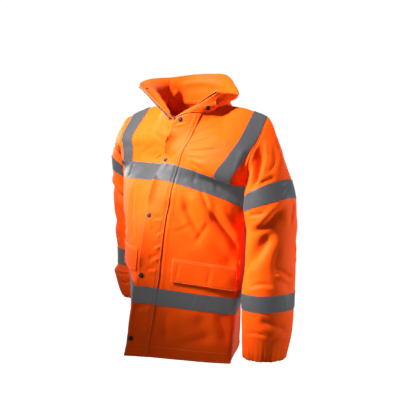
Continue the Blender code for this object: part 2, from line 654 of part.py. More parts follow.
def add_object(name, mesh, finish, place):
    """Put a mesh into the jacket's collection under its node's name."""
    obj = bpy.data.objects.new(name, mesh)
    mesh.materials.append(material(name + "_finish", *finish))
    place.objects.link(obj)
    return obj


def wall(name, cloth, outer, inner, finish, place):
    """A closed wall between two grids: two faces, cut alike, and a rim round the edge."""
    rows, cols = outer.shape[:2]
    count = rows * cols
    wrap = cols if cloth.ring else cols - 1
    faces = []
    for r in range(rows - 1):
        for c in range(wrap):
            a, b = r * cols + c, r * cols + (c + 1) % cols
            d, e = a + cols, b + cols
            pair = ((a, d, b), (b, d, e)) if cloth.flip[r, c] else ((a, d, e), (a, e, b))
            faces += pair
            faces += [tuple(count + i for i in reversed(t)) for t in pair]

    def rim(line):
        for i, j in zip(line[:-1], line[1:]):
            faces.extend([(i, j, count + j), (i, count + j, count + i)])

    first = [c % cols for c in range(wrap + 1)]
    last = [(rows - 1) * cols + c for c in first]
    rim(first)
    rim(last[::-1])
    if not cloth.ring:
        rim([r * cols for r in range(rows)][::-1])
        rim([r * cols + cols - 1 for r in range(rows)])
    across = outer[0, 1] - outer[0, 0]
    down = outer[1, 0] - outer[0, 0]
    if np.dot(np.cross(down, across), outer[0, 0] - inner[0, 0]) < 0:
        faces = [tuple(reversed(f)) for f in faces]
    mesh = bpy.data.meshes.new(name)
    points = np.concatenate([outer.reshape(-1, 3), inner.reshape(-1, 3)])
    mesh.from_pydata(points.tolist(), [], faces)
    mesh.update()
    mesh.shade_smooth()
    mesh.set_sharp_from_angle(angle=math.radians(50))
    return add_object(name, mesh, finish, place)


def panel_wall(name, cloth, thick, finish, place, gap=SEAM_GAP):
    """The wall of a main panel, from its outer points inwards."""
    move = drawn_in(cloth.points, gap, cloth.ring)
    outer = cloth.points + move
    wall(name, cloth, outer, outer - cloth.normals * thick, finish, place)


def layer(name, cloth, lift, thick, finish, place):
    """A piece that lies on a panel: the panel's points, moved out."""
    move = drawn_in(cloth.points, SEAM_GAP / 2, cloth.ring)
    lift = np.broadcast_to(lift, cloth.points.shape[:2])[..., None]
    inner = cloth.points + cloth.normals * lift + move
    wall(name, cloth, inner + cloth.normals * thick, inner, finish, place)


def stud(name, at, normal, radius, height, finish, place):
    """A press stud's cap: a low dome, turned, its foot on the point given."""
    profile = [(0.0, 1.0), (0.45, 0.97), (0.80, 0.82), (1.0, 0.45), (1.0, 0.0), (0.0, 0.0)]
    mesh = bpy.data.meshes.new(name)
    points = [(radius * r, 0.0, height * z) for r, z in profile]
    mesh.from_pydata(points, [(i, i + 1) for i in range(len(points) - 1)], [])
    obj = add_object(name, mesh, finish, place)
    screw = obj.modifiers.new("turn", "SCREW")
    screw.steps = screw.render_steps = 12
    screw.use_merge_vertices = True
    screw.merge_threshold = 0.00001
    obj.location = at
    obj.rotation_mode = "QUATERNION"
    obj.rotation_quaternion = Vector(normal).to_track_quat("Z", "Y")
    return obj


def read_grid(grid, row, col):
    """A point between a grid's points."""
    r, c = int(row), int(col)
    u, v = row - r, col - c
    r1, c1 = min(r + 1, grid.shape[0] - 1), min(c + 1, grid.shape[1] - 1)
    return ((grid[r, c] * (1 - v) + grid[r, c1] * v) * (1 - u)
            + (grid[r1, c] * (1 - v) + grid[r1, c1] * v) * u)


def read_column(grid, col):
    """A whole column between a grid's columns."""
    c = int(col)
    v = col - c
    return grid[:, c] * (1 - v) + grid[:, min(c + 1, grid.shape[1] - 1)] * v


# ---------------------------------------------------------------- the jacket


def build_form():
    """The five main panels and the collar as cloth, with their normals shared at seams."""
    left, right = front_panels()
    back = back_panel(left, right)
    body = [cloth_from(g) for g in (left, right, back)]
    axis = [c.points * (0, 0, 1) - (0, 0, 0.05) for c in body]
    share_normals(body, [own_normals(c, a) for c, a in zip(body, axis)])
    body = [cloth_from(folded(c.points, c.normals, "body")) for c in body]
    left, right, back = (c.points for c in body)

    sleeves = []
    for name, front, back_col, rings, side, cap in (
            ("sleeve_left", left, 0, SLEEVE_LEFT, 1, CAP_LEFT),
            ("sleeve_right", right, -1, SLEEVE_RIGHT, -1, CAP_RIGHT)):
        armhole = np.concatenate([front[:ARMPIT + 1, -1], back[ARMPIT - 1:0:-1, back_col]])
        tube = cloth_from(sleeve_panel(rings, armhole, side, cap), ring=True)
        inside = np.broadcast_to(tube.points.mean(axis=1, keepdims=True), tube.points.shape)
        tube.normals = unit(own_normals(tube, inside))
        fade = np.clip(np.arange(len(tube.points)) / 3, 0, 1)[:, None]
        sleeves.append(cloth_from(folded(tube.points, tube.normals, name, fade), ring=True))

    neck = np.concatenate([left[0, :COL_NECK + 1], back[0, BACK_NECK + 1:BACK_NECK + BACK_NECK_STEPS],
                           right[0, COL_NECK::-1]])
    collar = cloth_from(collar_panel(neck))

    cloths = body + sleeves + [collar]
    inside = axis + [np.broadcast_to(s.points.mean(axis=1, keepdims=True), s.points.shape) for s in sleeves]
    middle = np.array([0.0, 0.035, 0.0])
    inside.append(np.stack([0 * collar.points[..., 0] + middle[0], 0 * collar.points[..., 0] + middle[1],
                            collar.points[..., 2]], -1))
    share_normals(cloths, [own_normals(c, a) for c, a in zip(cloths, inside)])
    return dict(zip(("left", "right", "back", "sleeve_left", "sleeve_right", "collar"), cloths))


def build_panels(form, place):
    """The walls that a tailor would cut."""
    orange = (ORANGE, 0.55)
    panel_wall("front_left", form["left"], WALL, orange, place)
    panel_wall("front_right", form["right"], WALL, orange, place)
    panel_wall("back", form["back"], WALL, orange, place)
    panel_wall("sleeve_left", form["sleeve_left"], WALL, orange, place)
    panel_wall("sleeve_right", form["sleeve_right"], WALL, orange, place)
    collar = form["collar"]
    share = np.linspace(0, 1, collar.points.shape[1])
    rise = np.linspace(0, 1, collar.points.shape[0])[:, None]
    roll = np.exp(-(((share - 0.5) / 0.2) ** 2)) * np.sin(math.pi * rise * 0.8)
    thick = WALL + (COLLAR_WALL - WALL) * np.clip(rise * COLLAR_ROWS / 2, 0, 1) + COLLAR_ROLL * roll
    panel_wall("collar", collar, thick[..., None], orange, place, NECK_GAP)


def at_heights(cloth, heights):
    """A cloth's columns read at the heights given, row by row, which its own rows may not keep."""
    count = cloth.points.shape[1]
    points = np.empty((len(heights), count, 3))
    normals = np.empty_like(points)
    for c in range(count):
        z = cloth.points[:, c, 2]
        row = np.interp(-np.asarray(heights), -z, np.arange(len(z)))
        for i in range(3):
            points[:, c, i] = np.interp(row, np.arange(len(z)), cloth.points[:, c, i])
            normals[:, c, i] = np.interp(row, np.arange(len(z)), cloth.normals[:, c, i])
    return Cloth(points, unit(normals), np.zeros((len(heights) - 1, count - 1), bool))


def flap_cloth(form):
    """The fronts' points under the storm flap, from its seam to its free edge."""
    last = ROW_KNOTS[-1]
    left = form["left"].part((0, last), (0, COL_SEAM)).turned(1)
    right = form["right"].part((0, last), (0, COL_SEAM))
    right = at_heights(right, left.points[:, -1, 2])
    return left.joined(right, 1)


def flap_lift(cloth):
    """Lift of the storm flap's underside: more towards its free edge."""
    t = np.linspace(0, 1, cloth.points.shape[1])
    return FLAP_LIFT + FLAP_EDGE_LIFT * t**2


def build_flaps(form, place):
    """Storm flap, its turned-back end at the collar, and the pocket flaps."""
    orange = (ORANGE, 0.55)
    cloth = flap_cloth(form)
    layer("storm_flap", cloth, flap_lift(cloth), FLAP_WALL, orange, place)
    rows = ROW_KNOTS
    for name in ("left", "right"):
        pocket = form[name].part((rows[7], rows[8]), (COL_POCKET, COL_BRACE_EDGE))
        fall = np.linspace(0, 1, pocket.points.shape[0])[:, None]
        lift = POCKET_LIFT + POCKET_EDGE_LIFT * fall * np.ones(pocket.points.shape[:2])
        layer("pocket_flap_" + name, pocket, lift, FLAP_WALL, orange, place)


def build_bands(form, place):
    """Reflective tape round the chest, waist and sleeves, and over the shoulders."""
    grey = (GREY_TAPE, 0.5)
    rows = ROW_KNOTS
    flap = flap_cloth(form)
    for name, top, bottom in (("chest_band", rows[3], rows[5]), ("waist_band", rows[9], rows[10])):
        for side in ("left", "right"):
            cloth = form[side].part((top, bottom), (0, COL_SIDE))
            layer(f"{name}_front_{side}", cloth, SEAM_GAP, TAPE, grey, place)
        cloth = form["back"].part((top, bottom), (0, BACK_COLS))
        layer(f"{name}_back", cloth, SEAM_GAP, TAPE, grey, place)
        cloth = flap.part((top, bottom), (0, 2 * COL_SEAM))
        layer(f"{name}_flap", cloth, flap_lift(cloth) + FLAP_WALL + SEAM_GAP, TAPE, grey, place)
    back_cols = {"left": (COL_SIDE - COL_BRACE_EDGE, COL_SIDE - COL_BRACE),
                 "right": (BACK_COLS - COL_SIDE + COL_BRACE, BACK_COLS - COL_SIDE + COL_BRACE_EDGE)}
    for side in ("left", "right"):
        front = form[side].part((0, rows[3]), (COL_BRACE, COL_BRACE_EDGE)).turned(0)
        back = form["back"].part((0, rows[3]), back_cols[side])
        back = back.turned(1) if side == "left" else back
        layer(f"brace_{side}", front.joined(back, 0), SEAM_GAP, TAPE, grey, place)
    for side, rings in (("left", SLEEVE_LEFT), ("right", SLEEVE_RIGHT)):
        knots = CAP_STEPS + knots_of([r.steps for r in rings[:-1]])
        for level, first in (("upper", 0), ("lower", 4)):
            cloth = form[f"sleeve_{side}"].rows(knots[first], knots[first + 1])
            layer(f"sleeve_band_{side}_{level}", cloth, SEAM_GAP, TAPE, grey, place)


def read_rows(grid, rows, cols):
    """A new grid read from a grid at rows, and at columns given for each of them."""
    return np.array([[read_grid(grid, r, c) for c in line] for r, line in zip(rows, cols)])


def build_turned_end(form, place):
    """The storm flap's top end, turned back over the left of the collar."""
    collar = form["collar"]
    high = collar.points.shape[0] - 1
    rows = np.linspace(TURN_FROM, high, high + 1)
    v = np.linspace(0, 1, TURN_COLS + 1)
    cols = v[None, :] * (TURN_LOW + (TURN_HIGH - TURN_LOW) * rows / high)[:, None]
    cloth = cloth_from(read_rows(collar.points, rows, cols))
    cloth.normals = unit(read_rows(collar.normals, rows, cols))
    lift = TURN_LIFT + TURN_BULGE * np.sin(math.pi * v)[None, :] * np.sin(math.pi * rows / high)[:, None]
    layer("collar_flap", cloth, lift, FLAP_WALL, (ORANGE, 0.55), place)
    return cloth, cloth.points + cloth.normals * (lift + FLAP_WALL)[..., None]


def build_zip(form, place):
    """Zip: closed behind the storm flap, open along the collar's front edges."""
    black = (BLACK, 0.45)
    last = ROW_KNOTS[-1]
    left = form["left"].part((1, last), (0, 1)).turned(1)
    right = at_heights(form["right"].part((0, last), (0, COL_SEAM)), left.points[:, -1, 2])
    closed = left.joined(right.part((0, last), (0, 1)), 1)
    layer("zip_closed", closed, -(WALL + 2 * SEAM_GAP + ZIP_TAPE), ZIP_TAPE, black, place)
    collar = form["collar"]
    count = collar.points.shape[0]
    for side, edge, inner, start in (("left", 0, 1, EDGE_FROM[0]), ("right", -1, -4, EDGE_FROM[1])):
        rows = np.linspace(start * (count - 1), count - 1, count)
        line = np.array([read_grid(collar.points[:, [edge, inner]], r, c) for r in rows for c in (0, 1)])
        line = line.reshape(-1, 2, 3)
        back = unit(line[:, 1] - line[:, 0])
        normal = unit(np.array([read_grid(collar.normals[:, [edge]], r, 0) for r in rows]))
        points = np.stack([line[:, 0] - back * ZIP_EDGE_WIDTH, line[:, 0] - back * 2 * SEAM_GAP], axis=1)
        cloth = Cloth(points, np.stack([normal, normal], axis=1), np.zeros((count - 1, 1), bool))
        inside = points - cloth.normals * ZIP_TAPE
        wall("zip_collar_" + side, cloth, inside + cloth.normals * ZIP_TAPE, inside, black, place)
    mesh = bpy.data.meshes.new("zip_slider")
    shape = bmesh.new()
    bmesh.ops.create_cube(shape, size=1.0)
    bmesh.ops.scale(shape, vec=SLIDER, verts=shape.verts)
    foot = [v for v in shape.verts if v.co.z < 0]
    bmesh.ops.scale(shape, vec=(0.6, 1.0, 1.0), verts=foot)
    bmesh.ops.bevel(shape, geom=list(shape.edges), offset=0.0006, segments=2, profile=0.5, affect="EDGES")
    shape.to_mesh(mesh)
    shape.free()
    slider = add_object("zip_slider", mesh, black, place)
    slider.location = SLIDER_AT


def facing_at(grid, row, col, outside):
    """Normal of a grid near a point on it, from its own slopes, on the side of a direction."""
    step = 0.5
    r0, r1 = max(row - step, 0), min(row + step, grid.shape[0] - 1)
    c0, c1 = max(col - step, 0), min(col + step, grid.shape[1] - 1)
    normal = unit(np.cross(read_grid(grid, r1, col) - read_grid(grid, r0, col),
                           read_grid(grid, row, c1) - read_grid(grid, row, c0)))
    return normal * np.sign(np.dot(normal, outside))


def build_studs(form, turned, place):
    """Press studs down the storm flap, on its turned end, and their two mates at the neck."""
    black = (BLACK, 0.3)
    cloth = flap_cloth(form)
    outer = cloth.points + cloth.normals * (flap_lift(cloth) + FLAP_WALL)[None, :, None]
    for number, (z, col) in enumerate(STUDS, 1):
        heights = read_column(outer, col)[:, 2]
        row = float(np.interp(-z, -heights, np.arange(len(heights))))
        normal = facing_at(outer, row, col, read_grid(cloth.normals, row, col))
        stud(f"stud_{number}", read_grid(outer, row, col) + normal * STUD_CLEAR, normal, STUD_RADIUS,
             STUD_HEIGHT, black, place)
    flap, face = turned
    normal = facing_at(face, *STUD_COLLAR, read_grid(flap.normals, *STUD_COLLAR))
    stud("stud_collar", read_grid(face, *STUD_COLLAR) + normal * STUD_CLEAR, normal, STUD_RADIUS,
         STUD_HEIGHT, black, place)
    collar = form["collar"].points
    row, col = SOCKET_COLLAR[0], collar.shape[1] - 1 - SOCKET_COLLAR[1]
    normal = facing_at(collar, row, col, -read_grid(form["collar"].normals, row, col))
    at = read_grid(collar, row, col) + normal * (COLLAR_WALL + STUD_CLEAR)
    stud("stud_collar_socket", at, normal, SOCKET_RADIUS, SOCKET_HEIGHT, black, place)
    right = form["right"]
    normal = facing_at(right.points, *SOCKET_NECK, read_grid(right.normals, *SOCKET_NECK))
    at = read_grid(right.points, *SOCKET_NECK) + normal * STUD_CLEAR
    stud("stud_neck_socket", at, normal, SOCKET_RADIUS, SOCKET_HEIGHT, black, place)


def build_jacket():
    """Empty the file, then make every piece in its own collection."""
    for obj in list(bpy.data.objects):
        bpy.data.objects.remove(obj, do_unlink=True)
    place = bpy.data.collections.new("hi_vis_work_jacket")
    bpy.context.scene.collection.children.link(place)
    form = build_form()
    build_panels(form, place)
    build_flaps(form, place)
    build_bands(form, place)
    turned = build_turned_end(form, place)
    build_zip(form, place)
    build_studs(form, turned, place)


build_jacket()
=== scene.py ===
"""Looks of a hi-vis work jacket: its cloth, tape, zip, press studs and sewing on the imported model.

Metres, +Z up. +X is the wearer's left and -Y the wearer's front, and the origin lies between
the shoulder tips. Every cloth panel is a grid of points on its outer face, counted in rows
(down) and columns (from the zip edge, or from the back's left side). The key rows below are
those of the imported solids. Here the grid between them is FINE times finer, and creases,
puckers and gathers move its points along their normals.
"""

from __future__ import annotations

import logging
import math
from collections.abc import Sequence
from dataclasses import dataclass, field
from enum import Enum

import bpy
import numpy as np
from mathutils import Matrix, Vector

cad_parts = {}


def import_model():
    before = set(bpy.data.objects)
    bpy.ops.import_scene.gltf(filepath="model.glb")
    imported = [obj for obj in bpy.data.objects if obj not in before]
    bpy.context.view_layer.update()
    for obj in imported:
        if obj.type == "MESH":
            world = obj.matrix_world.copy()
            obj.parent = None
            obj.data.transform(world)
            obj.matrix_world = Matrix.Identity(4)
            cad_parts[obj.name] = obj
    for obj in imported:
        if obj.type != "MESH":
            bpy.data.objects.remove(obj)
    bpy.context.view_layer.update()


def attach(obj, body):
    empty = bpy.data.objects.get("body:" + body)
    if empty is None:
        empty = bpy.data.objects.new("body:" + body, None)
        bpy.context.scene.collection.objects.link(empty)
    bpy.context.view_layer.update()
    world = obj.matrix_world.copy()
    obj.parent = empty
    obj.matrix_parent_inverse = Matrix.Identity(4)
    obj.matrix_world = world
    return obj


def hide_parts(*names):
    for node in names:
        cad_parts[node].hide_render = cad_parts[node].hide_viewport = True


LOG = logging.getLogger("jacket")
BODY = "root"
FINE = 8                 # fine steps in each step of the panels' own grid
MM = 0.001
LAID_GAP = 0.15 * MM     # how far the edge of a piece laid on a panel is drawn in
FLAP_ROLL = 0.35         # share of a flap's thickness that its edge is rounded by


class Panel(Enum):
    """The cloths that the jacket's form is worked out for."""

    LEFT = "left"
    RIGHT = "right"
    BACK = "back"
    SLEEVE_LEFT = "sleeve_left"
    SLEEVE_RIGHT = "sleeve_right"
    COLLAR = "collar"
    FLAP = "storm_flap"


FRONTS = (Panel.LEFT, Panel.RIGHT)
BODY_PANELS = (*FRONTS, Panel.BACK)


# ---------------------------------------------------------------- the form's tables


@dataclass(frozen=True)
class FrontRow:
    """A key row of the left front: its zip end, its side end and the way it leaves each."""

    steps: int        # grid steps down to the next key row
    zip: tuple        # x, y, z at the zip edge
    side: tuple       # x, y, z at the armhole or side seam
    turn_zip: float   # degrees that the row is turned from +X at the zip edge
    turn_side: float  # degrees at the side, away from straight across
    full_side: float  # pull of the side's direction, in lengths of the row
    sag: float        # power of the row's fall towards the side
    seam: float       # zip edge to the storm flap's seam
    free: float       # zip edge to the storm flap's free edge, on the right front
    edge: float       # side to the brace's or the pocket flap's outer edge


@dataclass(frozen=True)
class RightRow:
    """What differs on the right front, which shares the zip edge's points."""

    side: tuple
    corner: float     # degrees that the row turns back at the storm flap's free edge
    turn_side: float
    full_free: float
    full_side: float
    sag: float
    edge: float
    width: float      # of the brace's or the pocket flap's last stretch, along the row


@dataclass(frozen=True)
class BackRow:
    """A key row of the back: both armhole ends above the armpit, and its middle."""

    left: tuple | None    # None below the armpit, where the side seam's points serve
    middle: tuple
    right: tuple | None
    turn_left: float      # degrees that the row leaves the left end, from +X
    turn_right: float
    full: float


@dataclass(frozen=True)
class SleeveRing:
    """A key ring of a sleeve."""

    steps: int
    centre: tuple
    across: float     # half width, body side to outer side
    deep: float       # half depth, front to back
    tilt: float       # degrees that the outer side is raised
    pitch: float      # degrees that the front is raised


@dataclass(frozen=True)
class Fold:
    """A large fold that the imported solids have: a soft trough (negative depth) or ridge."""

    panel: str
    start: tuple
    end: tuple
    width: float
    depth: float


FRONT_LEFT = tuple(FrontRow(*row) for row in (
    (3, (0.006, -0.082, -0.045), (0.270, -0.018, -0.045), 5, 30, 0.9, 1.5, 0.062, 0.010, 0.006),
    (3, (0.007, -0.095, -0.088), (0.257, -0.056, -0.115), -9, 35, 0.9, 1.5, 0.047, 0.021, 0.016),
    (1, (0.004, -0.105, -0.128), (0.236, -0.058, -0.200), -8, 40, 0.9, 1.5, 0.040, 0.027, 0.042),
    (1, (0.001, -0.116, -0.155), (0.225, -0.018, -0.212), -2, 50, 0.9, 1.5, 0.038, 0.030, 0.044),
    (3, (-0.001, -0.125, -0.178), (0.221, -0.024, -0.256), 0, 60, 0.9, 1.4, 0.037, 0.031, 0.046),
    (3, (-0.006, -0.158, -0.285), (0.216, -0.033, -0.335), 10, 60, 0.8, 1.2, 0.037, 0.031, 0.025),
    (2, (-0.013, -0.174, -0.389), (0.213, -0.042, -0.426), 22, 55, 0.8, 1.0, 0.037, 0.031, 0.006),
    (1, (-0.017, -0.181, -0.459), (0.210, -0.047, -0.495), 26, 52, 0.8, 1.0, 0.037, 0.031, 0.006),
    (1, (-0.020, -0.185, -0.484), (0.208, -0.049, -0.516), 28, 50, 0.8, 0.9, 0.037, 0.031, 0.010),
    (3, (-0.025, -0.191, -0.533), (0.205, -0.053, -0.563), 30, 50, 0.8, 0.9, 0.037, 0.031, 0.010),
    (0, (-0.041, -0.211, -0.690), (0.198, -0.061, -0.707), 36, 50, 0.8, 0.9, 0.037, 0.030, 0.010),
))
FRONT_RIGHT = tuple(RightRow(*row) for row in (
    ((-0.250, -0.028, -0.045), 0, 12, 0.9, 0.9, 2.0, 0.003, 0.060),
    ((-0.240, -0.040, -0.085), 0, 13, 0.9, 0.9, 2.0, 0.004, 0.058),
    ((-0.236, -0.042, -0.124), 0, 13, 0.9, 0.9, 2.0, 0.005, 0.054),
    ((-0.243, -0.026, -0.148), 0, 36, 0.9, 1.0, 1.6, 0.008, 0.050),
    ((-0.243, -0.027, -0.176), 0, 56, 0.9, 1.0, 1.5, 0.008, 0.050),
    ((-0.232, -0.020, -0.280), 5, 68, 1.0, 1.0, 1.2, 0.012, 0.050),
    ((-0.224, -0.018, -0.352), 18, 72, 0.77, 0.77, 0.4, 0.050, 0.050),
    ((-0.219, -0.018, -0.421), 26, 76, 0.62, 0.62, 0.4, 0.050, 0.050),
    ((-0.216, -0.018, -0.450), 30, 78, 0.30, 0.30, 0.7, 0.040, 0.050),
    ((-0.212, -0.016, -0.500), 36, 80, 0.20, 0.20, 0.7, 0.020, 0.050),
    ((-0.203, -0.010, -0.678), 60, 82, 0.10, 0.10, 1.0, 0.010, 0.050),
))
BACK_ROWS = tuple(BackRow(*row) for row in (
    ((0.262, 0.062, -0.045), (0.000, 0.140, 0.000), (-0.254, 0.056, -0.045), 150, 208, 0.9),
    ((0.243, 0.086, -0.115), (0.002, 0.158, -0.095), (-0.242, 0.070, -0.085), 148, 212, 0.9),
    ((0.230, 0.056, -0.198), (0.004, 0.160, -0.165), (-0.236, 0.046, -0.128), 135, 222, 0.9),
    (None, (0.005, 0.160, -0.196), None, 108, 235, 0.9),
    (None, (0.006, 0.160, -0.216), None, 104, 235, 0.9),
    (None, (0.010, 0.160, -0.305), None, 95, 238, 0.9),
    (None, (0.016, 0.162, -0.384), None, 93, 240, 0.9),
    (None, (0.021, 0.165, -0.452), None, 100, 240, 0.9),
    (None, (0.023, 0.167, -0.474), None, 107, 240, 0.9),
    (None, (0.026, 0.170, -0.523), None, 120, 240, 0.9),
    (None, (0.034, 0.180, -0.694), None, 134, 240, 0.7),
))
SLEEVE_LEFT_RINGS = tuple(SleeveRing(*row) for row in (
    (2, (0.292, -0.014, -0.196), 0.071, 0.077, 25, 0),
    (3, (0.302, -0.017, -0.243), 0.076, 0.077, 19, 0),
    (3, (0.303, -0.010, -0.340), 0.073, 0.074, 6, 0),
    (2, (0.300, -0.013, -0.425), 0.073, 0.075, 0, 0),
    (1, (0.298, -0.017, -0.487), 0.074, 0.077, 0, -3),
    (2, (0.297, -0.018, -0.535), 0.074, 0.076, 0, -3),
    (1, (0.294, -0.019, -0.612), 0.070, 0.072, 0, 0),
    (1, (0.290, -0.020, -0.660), 0.064, 0.066, 0, 0),
    (0, (0.288, -0.020, -0.682), 0.060, 0.061, 0, 0),
))
SLEEVE_RIGHT_RINGS = tuple(SleeveRing(*row) for row in (
    (2, (-0.300, 0.076, -0.158), 0.071, 0.076, 30, 20),
    (3, (-0.308, 0.094, -0.204), 0.073, 0.077, 24, 22),
    (2, (-0.318, 0.114, -0.295), 0.073, 0.075, 8, 10),
    (2, (-0.320, 0.127, -0.360), 0.074, 0.075, 0, 2),
    (1, (-0.313, 0.125, -0.418), 0.072, 0.075, 0, -4),
    (2, (-0.308, 0.120, -0.467), 0.072, 0.074, 0, -6),
    (1, (-0.302, 0.110, -0.508), 0.078, 0.078, 0, -6),
    (1, (-0.292, 0.102, -0.552), 0.068, 0.068, 0, -6),
    (0, (-0.285, 0.098, -0.577), 0.058, 0.059, 0, -4),
))
# the collar's top edge: share of the way round from its left to its right front edge,
# point, and how far the collar leans outwards where it leaves the neckline
COLLAR_TOP = (
    (0.00, (0.124, -0.026, 0.082), 0.0),
    (0.12, (0.152, 0.002, 0.078), 0.4),
    (0.22, (0.156, 0.034, 0.076), 1.0),
    (0.34, (0.124, 0.070, 0.098), 0.8),
    (0.42, (0.064, 0.106, 0.136), 0.3),
    (0.50, (0.000, 0.118, 0.142), 0.0),
    (0.58, (-0.064, 0.108, 0.141), 0.0),
    (0.68, (-0.128, 0.068, 0.132), 0.0),
    (0.80, (-0.164, 0.010, 0.125), 0.0),
    (0.90, (-0.163, -0.036, 0.114), 0.0),
    (1.00, (-0.140, -0.072, 0.1025), 0.0),
)
FOLDS = tuple(Fold(*row) for row in (
    ("body", (0.085, -0.125, -0.260), (0.200, -0.070, -0.400), 0.026, -0.008),
    ("body", (0.110, -0.120, -0.230), (0.205, -0.060, -0.340), 0.022, 0.006),
    ("body", (0.045, -0.140, -0.250), (0.110, -0.120, -0.345), 0.022, -0.005),
    ("body", (0.030, -0.180, -0.570), (0.060, -0.170, -0.660), 0.028, -0.005),
    ("body", (-0.080, -0.130, -0.260), (-0.190, -0.080, -0.380), 0.028, -0.006),
    ("body", (0.190, 0.060, -0.290), (0.090, 0.130, -0.430), 0.030, -0.007),
    ("body", (-0.180, 0.070, -0.280), (-0.080, 0.140, -0.400), 0.030, -0.007),
    ("body", (0.010, 0.165, -0.340), (0.030, 0.175, -0.640), 0.040, -0.006),
    ("sleeve_left", (0.240, -0.070, -0.315), (0.360, -0.060, -0.275), 0.018, -0.006),
    ("sleeve_left", (0.250, -0.075, -0.420), (0.330, -0.085, -0.330), 0.022, -0.008),
    ("sleeve_left", (0.270, -0.090, -0.450), (0.370, -0.030, -0.460), 0.018, -0.005),
    ("sleeve_left", (0.260, 0.060, -0.380), (0.370, 0.040, -0.340), 0.022, -0.006),
    ("sleeve_right", (-0.360, 0.060, -0.492), (-0.240, 0.060, -0.480), 0.014, 0.006),
    ("sleeve_right", (-0.380, 0.080, -0.330), (-0.250, 0.060, -0.350), 0.018, -0.007),
    ("sleeve_right", (-0.380, 0.170, -0.350), (-0.260, 0.200, -0.330), 0.022, -0.006),
))


# ---------------------------------------------------------------- small tools


def unit(v: np.ndarray) -> np.ndarray:
    """Return vectors scaled to length one along the last axis."""
    v = np.asarray(v, float)
    return v / np.maximum(np.linalg.norm(v, axis=-1, keepdims=True), 1e-12)


def run_of(points: np.ndarray) -> np.ndarray:
    """Return each point's distance from the start of a polyline."""
    step = np.linalg.norm(np.diff(np.asarray(points, float), axis=0), axis=1)
    return np.concatenate([[0.0], np.cumsum(step)])


def along(points: np.ndarray, wanted: np.ndarray) -> np.ndarray:
    """Read points of a polyline at distances from its start.

    Args:
        points: The polyline, one point a row.
        wanted: Distances from its start.

    Returns:
        One point for each distance.
    """
    run = run_of(points)
    return np.stack([np.interp(wanted, run, points[:, i]) for i in range(3)], axis=1)


def finer(values: Sequence[float]) -> np.ndarray:
    """Return values at every fine step, straight between those at the grid's own steps."""
    count = len(values) - 1
    return np.interp(np.arange(count * FINE + 1) / FINE, np.arange(count + 1), values)


def hermite(p0: np.ndarray, m0: np.ndarray, p1: np.ndarray, m1: np.ndarray, t: np.ndarray) -> np.ndarray:
    """Cubic curves from p0 to p1 that leave along m0 and arrive along m1.

    The curve is (2t^3-3t^2+1) p0 + (t^3-2t^2+t) m0 + (3t^2-2t^3) p1 + (t^3-t^2) m1.

    Args:
        p0: Start points.
        m0: Directions at the start, in lengths of the curve.
        p1: End points.
        m1: Directions at the end.
        t: Shares of the way, along the first axis of the result.

    Returns:
        Points, with t's axis first.
    """
    t = np.asarray(t, float).reshape((-1,) + (1,) * np.ndim(p0))
    return ((2 * t**3 - 3 * t**2 + 1) * p0 + (t**3 - 2 * t**2 + t) * m0
            + (3 * t**2 - 2 * t**3) * p1 + (t**3 - t**2) * m1)


def smooth_through(keys: np.ndarray, knots: np.ndarray, wanted: np.ndarray,
                   limit: bool = False) -> np.ndarray:
    """Smooth curve through keys, read at the wanted knots.

    Between two keys it is a cubic whose slope at each key is the mean of the slopes on its
    two sides, each weighted by the other side's length. The limit keeps that slope under
    three times the flatter of the two.

    Args:
        keys: Points or rows of points, first axis along the curve.
        knots: Rising place of each key.
        wanted: Places to read.
        limit: Whether the slopes are limited.

    Returns:
        The curve at the wanted places, first axis along the curve.
    """
    keys = np.asarray(keys, float)
    knots = np.asarray(knots, float)
    gap = np.diff(knots)
    shape = (-1,) + (1,) * (keys.ndim - 1)
    step = np.diff(keys, axis=0) / gap.reshape(shape)
    slope = np.concatenate([step[:1], step])
    before, after = gap[:-1].reshape(shape), gap[1:].reshape(shape)
    slope[1:-1] = (step[:-1] * after + step[1:] * before) / (before + after)
    if limit:
        most = 3 * np.minimum(np.abs(step[:-1]), np.abs(step[1:]))
        most += Form.FLAT * (np.abs(step[:-1]) + np.abs(step[1:]))
        slope[1:-1] = np.clip(slope[1:-1], -most, most)
    wanted = np.asarray(wanted, float)
    i = np.clip(np.searchsorted(knots, wanted, side="right") - 1, 0, len(gap) - 1)
    t = ((wanted - knots[i]) / gap[i]).reshape(shape)
    wide = gap[i].reshape(shape)
    return ((2 * t**3 - 3 * t**2 + 1) * keys[i] + (t**3 - 2 * t**2 + t) * wide * slope[i]
            + (3 * t**2 - 2 * t**3) * keys[i + 1] + (t**3 - t**2) * wide * slope[i + 1])


def smooth_line(keys: Sequence, count: int) -> np.ndarray:
    """Return a smooth line of so many points through keys that are one step apart."""
    keys = np.array(keys, float)
    return smooth_through(keys, np.arange(len(keys)), np.linspace(0, len(keys) - 1, count))


def ring_rows(rings: Sequence[SleeveRing]) -> np.ndarray:
    """Return each key ring's row, counted from the first ring."""
    return np.concatenate([[0], np.cumsum([r.steps for r in rings[:-1]])])


def grid_faces(rows: int, cols: int, wrap: bool) -> np.ndarray:
    """Return a grid's faces of four corners, each: a point, the next down, across, and up again.

    Args:
        rows: Rows of points.
        cols: Columns of points.
        wrap: Whether the last column is joined to the first.

    Returns:
        One face a row.
    """
    r, c = np.meshgrid(np.arange(rows - 1), np.arange(cols if wrap else cols - 1), indexing="ij")
    right = (c + 1) % cols
    quads = np.stack([r * cols + c, (r + 1) * cols + c, (r + 1) * cols + right, r * cols + right], -1)
    return quads.reshape(-1, 4)


